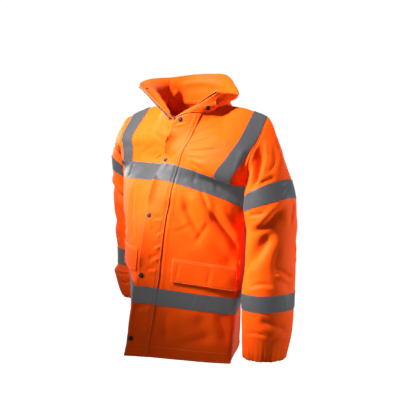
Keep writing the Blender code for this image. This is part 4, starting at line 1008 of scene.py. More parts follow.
# on each panel: route, width, depth, lip and whether it runs through the armhole seam
CREASES = {panel: tuple(Crease(*row) for row in rows) for panel, rows in {
    Panel.LEFT: (
        # from the chest band down to the side, the deepest of all, and three beside it
        (((12.0, 8.8), (12.9, 9.9), (13.9, 11.0), (15.0, 12.0), (16.1, 12.8)), 28, -12.5, 0.5),
        (((10.6, 7.0), (11.6, 8.2), (12.8, 9.4)), 15, -3, 0.5),
        (((11.5, 4.1), (12.6, 5.0), (13.4, 5.9), (14.4, 7.2), (15.4, 8.8)), 20, -4, -0.4),
        (((13.3, 9.0), (14.4, 7.8), (15.7, 6.5)), 14, -1.7, -0.4),
        (((14.9, 3.4), (14.5, 4.8), (13.8, 6.4)), 12, -1.4, 0.5),
        (((8.6, 6.2), (10.8, 5.5)), 16, -2, 0.3),
        (((9.4, 9.6), (10.8, 10.3)), 15, -2, -0.4),
        # beside the storm flap's seam
        (((0.8, 3.3), (8.0, 3.25), (16.0, 3.25), (23.8, 3.25)), 9, 1.5),
        # fanning out over the chest from that seam
        (((6.1, 3.2), (5.5, 6.0), (4.7, 9.2)), 13, -2, 0.5),
        (((7.2, 3.3), (7.0, 5.4), (7.0, 7.6)), 12, -1.6, 0.5),
        (((4.8, 3.2), (3.9, 4.6), (3.0, 7.2)), 13, -2, 0.5),
        (((2.9, 2.7), (2.4, 4.3), (1.9, 6.6)), 13, -1.6, 0.4),
        (((7.6, 4.2), (8.3, 5.9), (8.6, 8.3)), 16, -2.4, 0.5),
        # at the armhole
        (((4.4, 12.1), (6.3, 12.3), (8.0, 12.6)), 18, -6, -0.4),
        (((6.2, 13.1), (8.0, 13.2), (9.4, 13.0), (10.8, 12.3)), 33, -19, 0.0, True),
        # pocket flap, waist band and hem
        (((17.1, 4.9), (18.9, 4.7)), 10, -1.2, 0.3),
        (((17.2, 8.9), (19.1, 8.5)), 12, -1.2, 0.3),
        (((20.9, 6.9), (20.1, 7.5)), 6, -0.9, 0.6),
        (((20.9, 7.5), (20.1, 8.3)), 6, -0.8, 0.6),
        (((20.9, 8.8), (20.1, 9.2)), 5, -0.6, 0.5),
        (((21.2, 7.6), (22.1, 8.8), (23.0, 9.8)), 46, -3.4, 0.3),
        (((21.3, 3.9), (22.4, 4.3), (23.4, 4.3)), 28, -2.8, 0.4),
        (((23.4, 5.3), (22.9, 7.5), (22.4, 10.4)), 26, -2, 0.4),
        (((21.0, 10.2), (21.9, 11.2), (23.0, 11.7)), 31, -3.4, -0.3),
        (((23.2, 3.6), (23.9, 3.9)), 8, -1.5),
    ),
    Panel.RIGHT: (
        (((1.6, 8.8), (2.9, 5.9), (4.4, 4.2)), 20, -2.6, 0.4),
        (((1.0, 5.1), (2.5, 4.1)), 13, -2.2, 0.4),
        (((8.8, 5.5), (7.5, 4.5)), 8, -3, 0.4),
        (((7.2, 8.6), (5.4, 6.2)), 15, -1.5, 0.4),
        (((9.4, 9.4), (10.9, 8.6)), 15, -4.5, 0.4),
        (((11.2, 10.4), (12.6, 9.0)), 11, -4.5, 0.4),
        (((11.6, 6.6), (14.0, 6.1), (16.8, 4.5)), 24, -4.5, 0.4),
        (((12.5, 11.6), (14.0, 10.0), (15.6, 8.2)), 28, -9.5, 0.4),
        (((15.4, 8.6), (16.1, 7.2)), 15, -4.5, -0.4),
        (((17.5, 8.5), (19.0, 9.5), (21.0, 9.8)), 28, -8, 0.4),
        (((21.2, 5.0), (22.5, 6.0), (23.4, 6.2)), 31, -6, 0.3),
        (((20.9, 11.0), (22.4, 10.4)), 24, -5.5, -0.4),
    ),
    Panel.BACK: (
        (((10.6, 1.0), (12.2, 4.0), (14.0, 7.0)), 31, -11, 0.4),
        (((10.2, 19.2), (11.6, 16.0), (13.6, 13.2)), 29, -10, -0.4),
        (((5.0, 5.0), (6.2, 8.0), (6.0, 11.5)), 28, -4.5, 0.3),
        (((3.0, 13.5), (4.6, 15.5), (5.4, 17.2)), 22, -4.5, 0.4),
        (((7.0, 3.2), (8.2, 4.6)), 17, -4, 0.4),
        (((6.4, 16.8), (8.0, 15.6)), 17, -4, 0.4),
        (((11.6, 14.8), (12.4, 12.4)), 17, -4, 0.5),
        (((13.2, 10.4), (16.5, 11.0), (19.0, 10.6)), 40, -8, 0.3),
        (((15.0, 3.4), (17.2, 4.2), (19.4, 3.6)), 31, -7, -0.3),
        (((14.6, 16.4), (17.0, 15.8), (19.2, 16.6)), 29, -7, 0.3),
        (((16.0, 7.4), (17.4, 9.0)), 17, -4, 0.5),
        (((21.2, 7.0), (22.6, 6.4), (23.6, 6.8)), 31, -5.5, 0.3),
        (((21.0, 14.2), (22.4, 13.4), (23.5, 13.9)), 28, -5.5, -0.3),
        (((20.9, 17.2), (22.2, 18.2)), 22, -4.5, 0.3),
        (((20.9, 2.6), (22.4, 1.8)), 22, -4.5, -0.3),
    ),
    Panel.SLEEVE_LEFT: (
        # below the shoulder seam, in front
        (((0.8, 3.3), (2.0, 4.0), (3.1, 4.6), (4.4, 5.2), (5.8, 6.2)), 36, -26, -0.1),
        (((1.5, 2.7), (3.2, 3.2), (4.6, 3.8), (6.0, 4.9)), 11, 3.5),
        (((1.4, 2.8), (2.9, 3.2)), 8, 3),
        (((2.4, 1.4), (3.7, 1.7), (4.5, 2.6), (4.9, 3.6)), 16, -5.5),
        (((3.0, 0.2), (4.2, 0.0), (5.3, 0.4)), 22, 3),
        (((5.6, 4.6), (5.5, 3.5), (5.4, 2.5)), 12, -5.5, 0.4),
        # upper band's crumples
        (((6.7, 1.9), (6.3, 0.4)), 6, -1.2, 0.7),
        (((8.0, 2.3), (7.0, 1.2)), 6, -1.3, 0.7),
        (((7.6, 1.5), (6.6, 0.6)), 5, -1, 0.6),
        # elbow: a sharp ridge from the outside down to the inside, over the deepest trough
        (((8.4, 0.6), (9.0, 2.6), (9.4, 3.3), (9.9, 4.3), (10.3, 6.6)), 22, -11, -0.7),
        (((8.6, 6.9), (8.7, 5.0), (8.8, 3.7)), 9, -4, -0.3),
        (((9.6, 2.2), (11.0, 3.8), (11.9, 4.6), (13.0, 5.6), (14.0, 6.6)), 30, -7.4, -0.2),
        (((8.2, -0.3), (9.0, 0.0), (10.2, 1.0)), 12, -5, 0.4),
        # forearm
        (((11.2, 2.2), (13.0, 2.5), (14.6, 2.4)), 20, -3),
        (((14.0, 2.8), (13.9, 1.9), (14.3, 0.8), (15.1, -1.0)), 15, -6, -0.5),
        (((15.6, 6.4), (15.2, 4.8), (15.1, 3.6), (15.3, 2.4)), 12, -5, -0.4),
        (((16.2, 1.0), (17.0, 1.0)), 5, -1, 0.7),
        (((17.6, 4.4), (17.8, 3.2), (18.3, 1.3), (18.3, 0.2)), 20, -4.6, -0.4),
        (((18.9, 6.9), (18.7, 4.6), (18.9, 2.8)), 9, -4, -0.6),
        (((19.4, 3.2), (18.9, 1.5), (18.6, -1.2)), 12, -5, -0.5),
        # behind and inside
        (((1.2, 17.0), (2.8, 16.2), (4.6, 14.8)), 20, -8, -0.4),
        (((2.0, 13.6), (3.8, 13.2), (5.2, 12.0)), 17, -7, 0.4),
        (((8.8, 18.6), (9.4, 16.4), (9.8, 13.8), (9.6, 11.4)), 24, -11, 0.5),
        (((11.0, 17.4), (11.8, 15.4), (13.2, 13.6)), 28, -9.5, 0.4),
        (((11.6, 19.2), (12.8, 18.2)), 18, -6, 0.3),
        (((9.6, 9.6), (10.6, 8.6), (12.0, 8.4)), 22, -9.5, 0.3),
        (((13.4, 18.8), (14.0, 16.6), (13.6, 14.4)), 17, -6, 0.5),
        (((14.6, 12.6), (15.2, 10.6), (15.0, 8.6)), 15, -6, -0.4),
        (((18.0, 18.4), (18.6, 16.2), (18.2, 14.0)), 17, -6, 0.4),
        (((19.2, 12.8), (18.6, 10.6), (18.9, 8.4)), 12, -4.5, 0.4),
    ),
    Panel.SLEEVE_RIGHT: (
        (((0.8, 4.4), (2.2, 5.2), (4.0, 6.2)), 18, -8, -0.5),
        (((1.8, 3.3), (4.6, 3.2)), 11, -4, 0.4),
        (((2.6, 1.8), (3.9, 1.5), (4.7, 3.0)), 15, -6, -0.4),
        (((9.0, 0.4), (9.5, 2.6), (10.1, 4.6), (10.4, 6.6)), 22, -11, 0.6),
        (((9.3, 3.0), (10.3, 4.6)), 11, -4.5, 0.4),
        (((10.6, 2.2), (11.6, 4.2), (12.8, 6.0)), 29, -10, 0.3),
        (((13.2, 2.8), (14.2, 3.8)), 13, -4.5, 0.4),
        (((14.2, 0.6), (14.6, 2.0)), 15, -4.5, 0.4),
        (((17.1, 3.2), (17.4, 4.8), (17.2, 6.4)), 8, -4.5, 0.5),
        (((18.2, 2.8), (18.4, 5.0), (18.1, 6.8)), 8, -4.5, -0.5),
        (((2.0, 17.2), (3.4, 16.0), (5.0, 14.6)), 20, -8, 0.4),
        (((9.6, 17.6), (10.0, 15.0), (9.6, 12.4)), 24, -10, 0.5),
        (((11.4, 10.4), (12.6, 8.8), (13.8, 8.2)), 22, -8, 0.3),
        (((12.4, 19.0), (12.0, 17.0), (12.6, 15.0)), 20, -8, 0.4),
        (((14.4, 16.0), (15.0, 13.6), (14.6, 11.4)), 17, -6, -0.4),
        (((17.6, 17.2), (18.0, 14.4), (17.6, 12.0)), 13, -5.5, 0.4),
    ),
    Panel.COLLAR: (
        (((1.0, 1.6), (3.2, 3.2), (5.2, 4.8)), 13, 4),
        (((0.6, 3.4), (2.4, 5.6)), 15, -4.5, 0.4),
        (((0.6, 6.4), (2.8, 7.6)), 15, -4.5),
        (((0.7, 10.0), (2.6, 10.6)), 17, -4),
        (((0.8, 14.6), (3.0, 14.0)), 15, -4.5),
        (((1.0, 18.6), (3.2, 17.6)), 15, -4.5),
        (((3.2, 9.0), (4.0, 12.0), (3.6, 14.5)), 20, -4),
        (((2.3, 3.8), (2.1, 6.0), (2.1, 8.6)), 44, -10),
    ),
    Panel.FLAP: (
        # its edge stands up above the second stud and below the chest band
        (((2.6, 0.2), (5.6, 0.9), (8.7, 3.2), (10.4, 5.0)), 18, -1.7),
        (((1.6, 5.7), (4.2, 6.0), (7.3, 6.1)), 34, 11),
        (((10.2, 6.0), (11.8, 6.1), (13.2, 6.0)), 28, 8),
        (((17.0, 5.9), (18.2, 5.9)), 16, 2),
        (((20.4, 5.8), (22.2, 5.9)), 18, 2.5),
        # puckers from its seam
        (((1.1, 1.4), (1.0, 2.9)), 8, -1.6, 0.8),
        (((13.9, 0.6), (14.0, 3.4)), 10, -2.4, 0.9),
        (((14.9, 0.4), (15.3, 2.1)), 9, -2.4, 0.9),
        (((16.0, 0.4), (16.4, 2.6)), 9, -2.4, 0.9),
        (((16.9, 0.4), (17.5, 3.2)), 11, -2.6, 0.9),
        (((18.0, 0.6), (18.3, 3.6)), 10, -2, 0.8),
        (((21.1, 0.8), (21.4, 5.2)), 14, -2.4, 0.8),
        (((22.1, 0.8), (22.9, 4.9)), 16, -2.6, 0.8),
        (((23.3, 0.5), (23.6, 5.0)), 10, -1.8, 0.8),
        (((14.1, 4.9), (15.0, 3.2)), 9, 1.8),
    ),
}.items()}


@dataclass
class Relief:
    """Everything that moves the cloth off its plain form."""

    seam_dip: float = 1.1 * MM       # how far a seam is drawn in
    seam_width: float = 5.0 * MM
    pucker: float = 0.7 * MM         # puckers beside a seam
    pucker_wave: float = 13.0 * MM
    pucker_reach: float = 14.0 * MM
    soft: float = 1.6 * MM           # slack of the padded cloth
    soft_wave: float = 62.0 * MM
    small: float = 0.45 * MM
    small_wave: float = 21.0 * MM
    hem: float = 1.4 * MM            # ripple of the hem
    hem_wave: float = 46.0 * MM
    gather: float = 2.2 * MM         # waves that the elastic draws into a cuff
    gather_rows: float = 2.2
    hem_reach: float = 30 * MM       # fall of the ripple above the hem
    near_seam: float = 0.35          # share of the slack that is left at a seam
    clear_seam: float = 16 * MM      # creases fade towards a seam over this
    clear_rows: float = 2.0          # rows below the armpit over which they come back

    @staticmethod
    def side_distance(panel: Panel, cloth: Cloth) -> np.ndarray:
        """Return each point's distance from its panel's side seam or armhole, along its row."""
        across = cloth.across()
        side = across[:, -1:] - across
        return np.minimum(across, side) if panel is Panel.BACK else side

    def seam_distance(self, panel: Panel, cloth: Cloth) -> np.ndarray:
        """Return each point's distance from the nearest seam of its panel, in metres."""
        down = cloth.down()
        return np.minimum(self.side_distance(panel, cloth), down) if panel in BODY_PANELS else down

    def settle(self, form: Form) -> None:
        """Move every main cloth's points, and give them new normals.

        Args:
            form: The form, whose cloths are replaced.
        """
        lines = [(panel, crease, *crease.line(form.cloths[panel])) for panel, creases in CREASES.items()
                 for crease in creases if panel is not Panel.FLAP]
        slack, fine, edge = SoftNoise(11), SoftNoise(23), SoftNoise(37)
        for panel, cloth in form.cloths.items():
            group = BODY_PANELS if panel in BODY_PANELS else (panel,)
            seam = self.seam_distance(panel, cloth)
            near = np.clip(seam / self.clear_seam, 0, 1)
            fade = self.armhole_fade(form, panel, cloth) if panel in BODY_PANELS else near
            push = np.zeros(cloth.points.shape[:2])
            for at, crease, points, normals in lines:
                if at in group or (crease.through and panel is not Panel.COLLAR):
                    push += crease.push(cloth, points, normals) * (1 if crease.through else fade)
            calm = self.near_seam + (1 - self.near_seam) * near
            push += self.soft * slack.at(cloth.points, self.soft_wave) * calm
            push += self.small * fine.at(cloth.points, self.small_wave)
            push -= self.seam_dip * np.exp(-((seam / self.seam_width) ** 2))
            push += self.pucker * edge.at(cloth.points, self.pucker_wave) * np.exp(-seam / self.pucker_reach)
            if panel in BODY_PANELS:
                low = cloth.down()
                low = low[-1:] - low
                push += self.hem * edge.at(cloth.points, self.hem_wave) * np.exp(-low / self.hem_reach)
            elif cloth.ring:
                push += self.gathers(cloth)
            cloth.points = cloth.points + cloth.normals * push[..., None]
        cloths = list(form.cloths.values())
        share_normals(cloths, [cloth.refreshed().normals for cloth in cloths])

    def armhole_fade(self, form: Form, panel: Panel, cloth: Cloth) -> np.ndarray:
        """Return 0 at the armhole's points, where the sleeve's own points lie, rising to 1."""
        side = self.side_distance(panel, cloth)
        rows = np.arange(len(side))[:, None] / FINE
        beyond = np.clip((rows - form.armpit) / self.clear_rows, 0, 1)
        return np.clip(np.clip(side / self.clear_seam, 0, 1) + beyond, 0, 1)

    def gathers(self, cloth: Cloth) -> np.ndarray:
        """Work out the waves that the elastic draws into a cuff.

        Three waves round the cuff, of 10, 27 and 43 crests, grow towards its edge.

        Args:
            cloth: The sleeve.

        Returns:
            Metres along the normals.
        """
        rows, cols = cloth.points.shape[:2]
        turn = np.arange(cols)[None, :] / cols * 2 * math.pi
        share = np.clip(1 - (rows - 1 - np.arange(rows)[:, None]) / (self.gather_rows * FINE), 0, 1)
        wave = 0.5 * np.cos(10 * turn) + 0.42 * np.cos(27 * turn + 1.1 + np.cos(3 * turn))
        wave = wave + 0.25 * np.cos(43 * turn + 2.0 * np.sin(2 * turn))
        return self.gather * wave * share**1.4


# ---------------------------------------------------------------- finishes


def linear(code: str) -> tuple[float, float, float, float]:
    """Turn an sRGB hex colour into linear RGBA."""
    parts = [int(code[i:i + 2], 16) / 255 for i in (1, 3, 5)]
    return (*(v / 12.92 if v <= 0.04045 else ((v + 0.055) / 1.055) ** 2.4 for v in parts), 1.0)


def add_node(tree: bpy.types.NodeTree, kind: str, settings: dict | None = None,
             inputs: dict | None = None) -> bpy.types.Node:
    """Add a node with its settings, values and links.

    Args:
        tree: The material's tree.
        kind: The node's type name.
        settings: Properties of the node.
        inputs: Socket name or number to a value, or to the socket that it is linked from.

    Returns:
        The node.
    """
    node = tree.nodes.new(kind)
    for key, value in (settings or {}).items():
        setattr(node, key, value)
    for key, value in (inputs or {}).items():
        if isinstance(value, bpy.types.NodeSocket):
            tree.links.new(value, node.inputs[key])
        else:
            node.inputs[key].default_value = value
    return node


@dataclass(frozen=True)
class Finish:
    """What every finish has: its name and its Principled values. None is a metal."""

    name: str
    colour: str
    roughness: float
    ior: float = 1.5
    specular: float = 0.5

    def make(self) -> bpy.types.Material:
        """Return a new material with the plain values and this finish's own surface.

        Returns:
            The material.
        """
        mat = bpy.data.materials.new(self.name)
        mat.use_nodes = True
        shader = mat.node_tree.nodes["Principled BSDF"]
        shader.inputs["Base Color"].default_value = linear(self.colour)
        shader.inputs["Roughness"].default_value = self.roughness
        shader.inputs["IOR"].default_value = self.ior
        shader.inputs["Specular IOR Level"].default_value = self.specular
        self.dress(mat.node_tree, shader)
        return mat

    def dress(self, tree: bpy.types.NodeTree, shader: bpy.types.Node) -> None:
        """Add what the finish has besides, which each kind says for itself."""

    @staticmethod
    def grained(tree: bpy.types.NodeTree, grain: float, detail: float, tall: float, strength: float,
                under: bpy.types.Node | None = None) -> bpy.types.Node:
        """Return a bump of cloudy noise.

        Args:
            tree: The material's tree.
            grain: Size of its grains in metres.
            detail: Octaves of the noise.
            tall: Their height in metres.
            strength: Share of that height that the light sees.
            under: A coarser bump that it lies on.

        Returns:
            The bump node, whose Normal goes to the shader.
        """
        place = add_node(tree, "ShaderNodeTexCoord")
        noise = add_node(tree, "ShaderNodeTexNoise", None,
                         {"Vector": place.outputs["Object"], "Scale": 1 / grain, "Detail": detail})
        bump = add_node(tree, "ShaderNodeBump", None,
                        {"Height": noise.outputs["Fac"], "Distance": tall, "Strength": strength})
        if under:
            tree.links.new(under.outputs["Normal"], bump.inputs["Normal"])
        return bump

    @staticmethod
    def mottle(tree: bpy.types.NodeTree, low: str, high: str, wave: float, detail: float) -> bpy.types.Node:
        """Return a colour that drifts between two, with the size of its patches in metres.

        Args:
            tree: The material's tree.
            low: One colour.
            high: The other.
            wave: Size of a patch in metres.
            detail: Octaves of the noise.

        Returns:
            The node, whose Result is the colour.
        """
        place = add_node(tree, "ShaderNodeTexCoord")
        noise = add_node(tree, "ShaderNodeTexNoise", None,
                         {"Vector": place.outputs["Object"], "Scale": 1 / wave, "Detail": detail})
        return add_node(tree, "ShaderNodeMix", {"data_type": "RGBA"},
                        {"Factor": noise.outputs["Fac"], "A": linear(low), "B": linear(high)})

    @staticmethod
    def weave(tree: bpy.types.NodeTree, pitch: float, tall: float) -> bpy.types.Node:
        """Return a bump of a plain weave.

        Its height is sin(2 pi u / pitch) * sin(2 pi v / pitch), with u and v the UV map's
        metres across and down the cloth.

        Args:
            tree: The material's tree.
            pitch: Two threads' spacing in metres.
            tall: Height of a thread in metres.

        Returns:
            The bump node, whose Normal goes to the shader.
        """
        place = add_node(tree, "ShaderNodeUVMap", {"uv_map": "UVMap"})
        split = add_node(tree, "ShaderNodeSeparateXYZ", None, {0: place.outputs["UV"]})
        waves = []
        for axis in ("X", "Y"):
            turn = add_node(tree, "ShaderNodeMath", {"operation": "MULTIPLY"},
                            {0: split.outputs[axis], 1: 2 * math.pi / pitch})
            waves.append(add_node(tree, "ShaderNodeMath", {"operation": "SINE"}, {0: turn.outputs[0]}))
        cross = add_node(tree, "ShaderNodeMath", {"operation": "MULTIPLY"},
                         {0: waves[0].outputs[0], 1: waves[1].outputs[0]})
        return add_node(tree, "ShaderNodeBump", None,
                        {"Height": cross.outputs[0], "Distance": tall, "Strength": 0.6})


@dataclass(frozen=True)
class OxfordCloth(Finish):
    """PU-coated polyester oxford in fluorescent orange.

    A dense plain weave under a thin coating: a full, even colour with a soft broad gloss
    along the ridges.
    """

    dull: str = "#C03B03"
    patch: float = 35 * MM
    sheen: float = 0.03
    fuzz: float = 0.4            # roughness of the sheen
    pitch: float = 1.8 * MM      # real threads lie 0.6 mm apart; drawn coarser, so that they show
    tall: float = 0.05 * MM

    def dress(self, tree: bpy.types.NodeTree, shader: bpy.types.Node) -> None:
        """Add the drifting colour, the weave and the coating's faint sheen.

        Args:
            tree: The material's tree.
            shader: Its shader.
        """
        patches = self.mottle(tree, self.dull, self.colour, self.patch, detail=3.0)
        tree.links.new(patches.outputs["Result"], shader.inputs["Base Color"])
        tree.links.new(self.weave(tree, self.pitch, self.tall).outputs["Normal"], shader.inputs["Normal"])
        shader.inputs["Sheen Weight"].default_value = self.sheen
        shader.inputs["Sheen Roughness"].default_value = self.fuzz


@dataclass(frozen=True)
class GlassBeadTape(Finish):
    """Retroreflective tape: glass beads on grey cloth.

    The beads send a lamp's light back to the lamp, so that the tape is dark beside lit
    cloth. The little light that they return from the viewer's side is painted on as a glow:
    an even grey emission of the tape's own. It has a fine grain, a satin gloss and flat crumples.
    """

    pale: str = "#2B2C2F"
    patch: float = 12 * MM
    # emission strength of a painted glow, which stands in for the light that the beads return
    painted_glow: float = 0.05
    facet: float = 7.0 * MM
    bead: float = 1.2 * MM       # real beads are 0.05 mm; the grain is drawn as coarse as shows
    tall: float = 0.08 * MM
    crumple: float = 0.35 * MM

    def dress(self, tree: bpy.types.NodeTree, shader: bpy.types.Node) -> None:
        """Add the wear, a painted glow for the light that the beads return, their grain and the flat
        crumples.

        Args:
            tree: The material's tree.
            shader: Its shader.
        """
        patches = self.mottle(tree, self.colour, self.pale, self.patch, detail=5.0)
        tree.links.new(patches.outputs["Result"], shader.inputs["Base Color"])
        # painted glow: the tape emits an even grey light of its own in place of the light that its beads
        # return
        shader.inputs["Emission Color"].default_value = (1.0, 0.98, 1.0, 1.0)
        shader.inputs["Emission Strength"].default_value = self.painted_glow
        place = add_node(tree, "ShaderNodeTexCoord")
        facets = add_node(tree, "ShaderNodeTexVoronoi", {"feature": "DISTANCE_TO_EDGE"},
                          {"Vector": place.outputs["Object"], "Scale": 1 / self.facet})
        flat = add_node(tree, "ShaderNodeBump", None,
                        {"Height": facets.outputs["Distance"], "Distance": self.crumple, "Strength": 0.25})
        grain = self.grained(tree, self.bead, detail=2.0, tall=self.tall, strength=0.5, under=flat)
        tree.links.new(grain.outputs["Normal"], shader.inputs["Normal"])


@dataclass(frozen=True)
class MouldedPlastic(Finish):
    """Moulded acetal or nylon, black: a fine pitted skin with a clear soft highlight."""

    pit: float = 1.5 * MM        # real pits are a tenth of that
    deep: float = 0.05 * MM

    def dress(self, tree: bpy.types.NodeTree, shader: bpy.types.Node) -> None:
        """Add the pits."""
        pits = self.grained(tree, self.pit, detail=3.0, tall=self.deep, strength=0.3)
        tree.links.new(pits.outputs["Normal"], shader.inputs["Normal"])


@dataclass(frozen=True)
class WovenTape(Finish):
    """Zip tape: black polyester, woven in a fine rib, dull."""

    pitch: float = 1.6 * MM
    tall: float = 0.05 * MM
    sheen: float = 0.2

    def dress(self, tree: bpy.types.NodeTree, shader: bpy.types.Node) -> None:
        """Add the rib and the cloth's sheen."""
        tree.links.new(self.weave(tree, self.pitch, self.tall).outputs["Normal"], shader.inputs["Normal"])
        shader.inputs["Sheen Weight"].default_value = self.sheen


@dataclass(frozen=True)
class SpunThread(Finish):
    """Sewing thread: spun polyester, matt, twisted too finely to draw but as a soft grain."""

    twist: float = 0.8 * MM
    tall: float = 0.05 * MM

    def dress(self, tree: bpy.types.NodeTree, shader: bpy.types.Node) -> None:
        """Add the grain."""
        grain = self.grained(tree, self.twist, detail=2.0, tall=self.tall, strength=0.4)
        tree.links.new(grain.outputs["Normal"], shader.inputs["Normal"])


@dataclass(frozen=True)
class PaintedFloor(Finish):
    """Matt white floor of a studio, which lights of its own turn to plain white further out."""

    lit_from: tuple = (1.7, 2.6)     # metres from the middle where that begins and is whole

    def dress(self, tree: bpy.types.NodeTree, shader: bpy.types.Node) -> None:
        """Add the glow that rises from none to white between the two distances.

        Args:
            tree: The material's tree.
            shader: Its shader.
        """
        place = add_node(tree, "ShaderNodeTexCoord")
        away = add_node(tree, "ShaderNodeVectorMath", {"operation": "LENGTH"}, {0: place.outputs["Object"]})
        level = add_node(tree, "ShaderNodeMapRange", {"interpolation_type": "SMOOTHSTEP"},
                         {"Value": away.outputs["Value"], "From Min": self.lit_from[0],
                          "From Max": self.lit_from[1], "To Min": 0.0, "To Max": 1.0})
        shader.inputs["Emission Color"].default_value = (1.0, 1.0, 1.0, 1.0)
        tree.links.new(level.outputs["Result"], shader.inputs["Emission Strength"])


@dataclass
class Finishes:
    """The jacket's materials, each made once."""

    cloth: bpy.types.Material = field(default_factory=OxfordCloth(
        "pu_coated_polyester_oxford", "#C94103", 0.55, specular=0.03).make)
    tape: bpy.types.Material = field(default_factory=GlassBeadTape(
        "glass_bead_retroreflective_tape", "#242528", 0.45, ior=1.45, specular=0.06).make)
    stud: bpy.types.Material = field(default_factory=MouldedPlastic(
        "moulded_acetal_black", "#1E1512", 0.5, specular=0.15).make)
    zip_cloth: bpy.types.Material = field(default_factory=WovenTape(
        "woven_polyester_zip_tape", "#1A1312", 0.7).make)
    zip_teeth: bpy.types.Material = field(default_factory=MouldedPlastic(
        "moulded_nylon_teeth", "#17110F", 0.4).make)
    thread: bpy.types.Material = field(default_factory=SpunThread(
        "spun_polyester_thread_orange", "#CC6C35", 0.7).make)
    grey_thread: bpy.types.Material = field(default_factory=SpunThread(
        "spun_polyester_thread_grey", "#4A4A4D", 0.7).make)


# ---------------------------------------------------------------- meshes


@dataclass
class Bench:
    """Turns grids into meshes and puts finished pieces on the model."""

    pieces: int = 0

    @staticmethod
    def mesh(name: str, points: np.ndarray, quads: np.ndarray, uv: np.ndarray | None = None,
             sharp: float = 55.0) -> bpy.types.Mesh:
        """Make a mesh from whole arrays.

        Args:
            name: The mesh's name.
            points: Vertices.
            quads: Faces of four corners.
            uv: A pair for each face corner, if any.
            sharp: Degrees past which an edge is shaded sharp.

        Returns:
            The mesh.
        """
        made = bpy.data.meshes.new(name)
        made.vertices.add(len(points))
        made.vertices.foreach_set("co", np.asarray(points, np.float32).ravel())
        made.loops.add(quads.size)
        made.loops.foreach_set("vertex_index", quads.astype(np.int32).ravel())
        made.polygons.add(len(quads))
        made.polygons.foreach_set("loop_start", np.arange(0, quads.size, 4, dtype=np.int32))
        made.update(calc_edges=True)
        if uv is not None:
            layer = made.uv_layers.new(name="UVMap")
            layer.uv.foreach_set("vector", uv.astype(np.float32).ravel())
        made.validate()
        made.shade_smooth()
        made.set_sharp_from_angle(angle=math.radians(sharp))
        return made

    def shell(self, name: str, outer: Cloth, inner: np.ndarray) -> bpy.types.Mesh:
        """Make a closed wall: an outer and an inner face of quads and a rim round the edge.

        Args:
            name: The mesh's name.
            outer: The outer face.
            inner: Points of the inner face.

        Returns:
            The mesh, with a UV map in metres across and down the cloth.
        """
        rows, cols = outer.points.shape[:2]
        count = rows * cols
        steps = cols if outer.ring else cols - 1
        face = grid_faces(rows, cols, outer.ring)
        first = np.arange(steps + 1) % cols
        last = (rows - 1) * cols + first
        edges = [first, last[::-1]]
        if not outer.ring:
            edges += [(np.arange(rows) * cols)[::-1], np.arange(rows) * cols + cols - 1]
        rim = np.concatenate([np.stack([e[:-1], e[1:], e[1:] + count, e[:-1] + count], -1) for e in edges])
        quads = np.concatenate([face, face[:, ::-1] + count, rim])
        p = outer.points
        flat = np.concatenate([p, p[:, :1]], axis=1) if outer.ring else p
        width = run_of(flat[rows // 2])
        tall = run_of(p[:, cols // 2])
        r, c = (v.reshape(-1, 1) for v in np.meshgrid(np.arange(rows - 1), np.arange(steps), indexing="ij"))
        uv = np.stack([width[c + (0, 0, 1, 1)], -tall[r + (0, 1, 1, 0)]], -1)
        uv = np.concatenate([uv, uv[:, ::-1], np.zeros((len(rim), 4, 2))])
        if np.sum(outer.slopes() * (p - inner)) < 0:
            quads, uv = quads[:, ::-1], uv[:, ::-1]
        return self.mesh(name, np.concatenate([p.reshape(-1, 3), inner.reshape(-1, 3)]), quads, uv)

    @staticmethod
    def drawn_in(points: np.ndarray, amount: float, ring: bool) -> np.ndarray:
        """Return how far each edge point moves into its piece to leave a seam gap.

        Args:
            points: The piece's grid.
            amount: How far its edge moves.
            ring: Whether it is a tube, whose sides have no edge.

        Returns:
            Moves in metres.
        """
        move = np.zeros_like(points)
        move[0] += amount * unit(points[1] - points[0])
        move[-1] += amount * unit(points[-2] - points[-1])
        if not ring:
            move[:, 0] += amount * unit(points[:, 1] - points[:, 0])
            move[:, -1] += amount * unit(points[:, -2] - points[:, -1])
        return move

    @staticmethod
    def edge_share(cloth: Cloth) -> np.ndarray:
        """Return 1 at the points on a cloth's edge and 0 elsewhere.

        Args:
            cloth: The cloth.

        Returns:
            One share for each point.
        """
        share = np.zeros(cloth.points.shape[:2])
        share[0] = share[-1] = 1.0
        if not cloth.ring:
            share[:, 0] = share[:, -1] = 1.0
        return share

    def wall(self, name: str, cloth: Cloth, lift: np.ndarray | float, thick: np.ndarray | float,
             gap: float = 0.02 * MM, roll: float = 0.3) -> bpy.types.Mesh:
        """Make a wall from a cloth: its underside lifted off the points, its edge rolled.

        Args:
            name: The mesh's name.
            cloth: The points that it follows.
            lift: Underside above the points; minus the thickness for a panel's own wall.
            thick: Thickness.
            gap: How far the edge is drawn in.
            roll: Share of the thickness that each face is rounded by at the edge.

        Returns:
            The mesh.
        """
        move = self.drawn_in(cloth.points, gap, cloth.ring)
        thick = np.broadcast_to(thick, cloth.points.shape[:2])
        ease = self.edge_share(cloth) * thick * roll
        inner = cloth.moved(lift + ease).points + move
        outer = Cloth(cloth.moved(lift + thick - ease).points + move, cloth.normals, cloth.ring)
        return self.shell(name, outer, inner)

    def add(self, name: str, mesh: bpy.types.Mesh, finish: bpy.types.Material, slot: str,
            nodes: Sequence[str] = ()) -> bpy.types.Object:
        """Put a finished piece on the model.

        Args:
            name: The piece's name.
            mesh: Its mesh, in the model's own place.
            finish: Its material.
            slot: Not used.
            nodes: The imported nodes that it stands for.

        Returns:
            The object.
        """
        obj = bpy.data.objects.new(name, mesh)
        bpy.context.scene.collection.objects.link(obj)
        mesh.materials.append(finish)
        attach(obj, BODY)
        if nodes:
            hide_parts(*nodes)
        self.pieces += 1
        LOG.info("%s: %d faces", name, len(mesh.polygons))
        return obj


